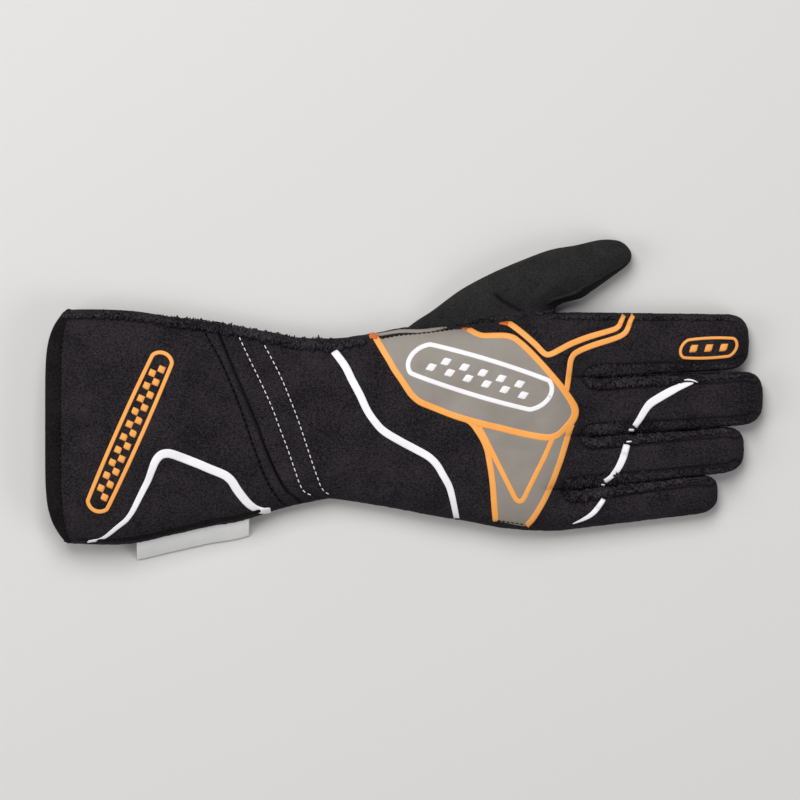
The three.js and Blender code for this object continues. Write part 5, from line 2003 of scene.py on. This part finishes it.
    def patch(self, top: Rows, low: Rows, left: Rows | None = None,
              right: Rows | None = None) -> tuple[np.ndarray, np.ndarray]:
        """Grid and thickness of a panel inside two or four lines.

        Formula: straight blends between facing lines, summed, less the blend of the corners.

        Args:
            top: Line along one side.
            low: Line along the facing side, in the same direction.
            left: Line from the start of top to the start of low, or none where it is straight.
            right: Line from the end of top to the end of low, or none where it is straight.

        Returns:
            The grid of X and Y, and the thickness at each place.
        """
        def even(line: np.ndarray, count: int) -> np.ndarray:
            """Even places along a smooth curve through the line's places."""
            fine = spline(line, 0.3)
            share = np.linspace(0, 1, len(fine))
            return np.column_stack([np.interp(np.linspace(0, 1, count), share, a) for a in fine.T])

        def run_length(line: np.ndarray) -> float:
            """Length of the straight runs between the line's places."""
            return float(np.linalg.norm(np.diff(line, axis=0), axis=1).sum())

        upper, lower = from_photo(top), from_photo(low)
        length = max(run_length(upper), run_length(lower))
        wide = float(np.linalg.norm(upper[len(upper) // 2] - lower[len(lower) // 2]))
        if left:
            wide = run_length(from_photo(left))
        u, v = int(length / self.step), max(12, int(wide / self.step))
        upper, lower = even(upper, u), even(lower, u)
        across = np.linspace(0, 1, v)[None, :, None]
        grid = upper[:, None, :] * (1 - across) + lower[:, None, :] * across
        if left and right:
            first = even(np.vstack([upper[:1], from_photo(left)[1:-1], lower[:1]]), v)
            last = even(np.vstack([upper[-1:], from_photo(right)[1:-1], lower[-1:]]), v)
            along = np.linspace(0, 1, u)[:, None, None]
            corners = ((upper[0] * (1 - across) + lower[0] * across) * (1 - along)
                       + (upper[-1] * (1 - across) + lower[-1] * across) * along)
            grid = grid + first[None] * (1 - along) + last[None] * along - corners
        return grid, flat_rise(grid.shape[:2])

    def stripes(self) -> None:
        """The white stripes of the cuff, the wrist and three fingers."""
        high = (self.hop, self.hop)
        foot = (self.foot_hop, self.foot_hop)
        for name, lines in (
                ("cuff_stripe", ((self.cuff_line, high),)),
                ("wrist_stripe", ((self.wrist_line, (1, 1)),)),
                ("middle_stripe", ((self.middle_line, high), (self.middle_cap, high),
                                   (self.middle_foot, foot))),
                ("ring_stripe", ((self.ring_line, high), (self.ring_cap, high), (self.ring_foot, foot))),
                ("little_stripe", ((self.little_line, (self.hop, 1)),))):
            self.plates(Print(f"{name}_print", (name,), "white", "white_print"),
                        [self.strip(line, over) for line, over in lines])

    def panels(self) -> None:
        """The two grey panels."""
        self.plates(Print("knuckle_panel_print", ("knuckle_panel",), "grey", "grey_print", 0.05, 0.11),
                    [self.patch(self.panel_top, self.panel_low)])
        self.plates(Print("side_panel_print", ("side_panel",), "grey", "grey_print", 0.04, 0.1),
                    [self.patch(self.side_top, self.side_low, self.side_left_line[2:],
                                self.side_right_line)])

    def trims(self) -> None:
        """The orange trims of both panels and the fork to the index finger's side."""
        flat, end = (1, 1), (1, self.hop)
        for name, node, lift, lines in (
                ("knuckle_trim_print", "knuckle_trim", 0.2, ((self.knuckle_line, flat),)),
                ("side_trim_print", "side_trim", 0.16,
                 ((self.side_left_line, flat), (self.side_right_line, flat))),
                ("side_trim_vee_print", "side_trim_vee", 0.18, ((self.vee_line, flat),)),
                ("fork_print_upper", "fork_trim_upper", 0.16, ((self.fork_upper_line, end),)),
                ("fork_print_lower", "fork_trim_lower", 0.17, ((self.fork_lower_line, end),))):
            self.plates(Print(name, (node,), "orange", "orange_print", lift),
                        [self.strip(line, over) for line, over in lines])
        # pieces of the orange print in a darker copy: painted shade where it turns over the rim
        self.plates(Print("orange_print_fold_shade", (), "orange_fold_shade", "orange_print", 0.45),
                    [self.strip(line, (2.0, 2.0)) for line in self.folds])

    def badge_prints(self) -> None:
        """Plain racing badges on the cuff, the knuckle panel and the index finger."""
        for badge in self.badges:
            self.plates(Print(badge.name, (), badge.finish, f"{badge.finish}_print", badge.lift),
                        [self.strip(badge.outline()), *badge.checks()])

    def build(self) -> None:
        """Build all prints."""
        self.panels()
        self.trims()
        self.stripes()
        self.badge_prints()


@dataclass(frozen=True)
class Label:
    """Bare woven label that hangs out of the cuff's little-finger side seam."""

    surface: Surface
    finishes: Finishes
    length: float = 54.0
    reach: float = 8.5
    start_share: float = 0.32
    wall: float = 0.4
    tuck: float = 0.3
    edge_height: float = 0.9
    wave_height: float = 0.25
    wave_length: float = 6.0
    rows: int = 90
    columns: int = 24

    def build(self) -> None:
        """Build the label.

        Formula: along the seam by outwards; the height falls from the seam to the floor with
        the power 1.5 of the way out, plus a soft wave.
        """
        body = self.surface.body
        start = -body.cuff_length * (1 - self.start_share)
        x = start + np.linspace(0, self.length, self.rows)[:, None]
        out = np.linspace(0, 1, self.columns)[None, :]
        seam = body.side_share * body.section(x)[2]
        y = body.side(x, -np.ones_like(x)) + self.tuck - (self.reach + self.tuck) * out
        z = seam + (self.edge_height - seam) * out ** 1.5
        z = z + self.wave_height * np.sin(x / self.wave_length) * out * (1 - out) * 2
        points = np.stack(np.broadcast_arrays(x, y, z), axis=-1).reshape(-1, 3)
        piece = make_mesh("side_label_tape", points, grid_quads(self.rows, self.columns)[:, ::-1],
                          self.finishes.tape, "white_tape")
        add_wall(piece, self.wall)
        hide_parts("side_label")


@dataclass(frozen=True)
class Studio:
    """Pale floor, soft lights and the photograph's camera, straight above the glove."""

    height: float = CAMERA_HEIGHT * METRE
    sensor: float = 36.0
    floor_size: float = 6.0

    def floor(self, low: float) -> None:
        """Lay the floor just under the glove.

        Args:
            low: Its height in metres.
        """
        mesh = bpy.data.meshes.new("studio_floor")
        half = self.floor_size / 2
        mesh.from_pydata([(-half, -half, low), (half, -half, low), (half, half, low), (-half, half, low)],
                         [], [(0, 1, 2, 3)])
        floor = bpy.data.objects.new("studio_floor", mesh)
        bpy.context.scene.collection.objects.link(floor)
        material = bpy.data.materials.new("matt_studio_paper")
        material.use_nodes = True
        shader = material.node_tree.nodes["Principled BSDF"]
        shader.inputs["Base Color"].default_value = linear("#dcdad7")
        shader.inputs["Roughness"].default_value = 0.9
        mesh.materials.append(material)

    def light(self, name: str, place: tuple[float, float, float], size: float, power: float) -> None:
        """Hang a square softbox that faces the glove.

        Args:
            name: The light's name.
            place: Its place in metres.
            size: Its side in metres.
            power: Its power in watts.
        """
        lamp = bpy.data.lights.new(name, "AREA")
        lamp.size = size
        lamp.energy = power
        holder = bpy.data.objects.new(name, lamp)
        holder.location = place
        aim = mathutils.Vector((0.03, 0.0, 0.0)) - mathutils.Vector(place)
        holder.rotation_euler = aim.to_track_quat("-Z", "Y").to_euler()
        bpy.context.scene.collection.objects.link(holder)

    def camera(self) -> None:
        """Set the camera that gives the photograph's frame."""
        camera = bpy.data.cameras.new("photo_camera")
        camera.sensor_width = self.sensor
        camera.lens = self.sensor * self.height / (PHOTO_SIDE * PHOTO_PIXEL * METRE)
        camera.clip_end = 50
        holder = bpy.data.objects.new("photo_camera", camera)
        centre = from_photo(((PHOTO_SIDE / 2, PHOTO_SIDE / 2),))[0] * METRE
        holder.location = (centre[0], centre[1], self.height)
        bpy.context.scene.collection.objects.link(holder)
        bpy.context.scene.camera = holder

    def build(self) -> None:
        """Build floor, lights, world and camera."""
        self.floor(-0.0003)
        self.light("softbox_top", (-0.25, 0.95, 1.5), 1.2, 25)
        self.light("softbox_left", (-1.2, -0.1, 0.9), 0.9, 7)
        self.light("softbox_right", (1.1, -0.6, 1.0), 0.9, 6)
        world = bpy.data.worlds.new("studio_air")
        world.use_nodes = True
        world.node_tree.nodes["Background"].inputs["Color"].default_value = (0.9, 0.93, 1.0, 1.0)
        world.node_tree.nodes["Background"].inputs["Strength"].default_value = 0.15
        bpy.context.scene.world = world
        # plain colours, as the photograph's camera gives them
        bpy.context.scene.view_settings.view_transform = "Standard"
        self.camera()


def main() -> None:
    """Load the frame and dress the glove."""
    logging.basicConfig(level=logging.INFO, format="%(name)s: %(message)s")
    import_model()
    body = Body()
    surface = Surface(body, Cloth(body))
    finishes = make_finishes()
    Studio().build()
    for part in (Gauntlet, Hand, Thumb, Seams, Stitching, Prints, Label):
        part(surface, finishes).build()
        LOG.info("%s done", part.__name__)


if __name__ == "__main__":
    main()
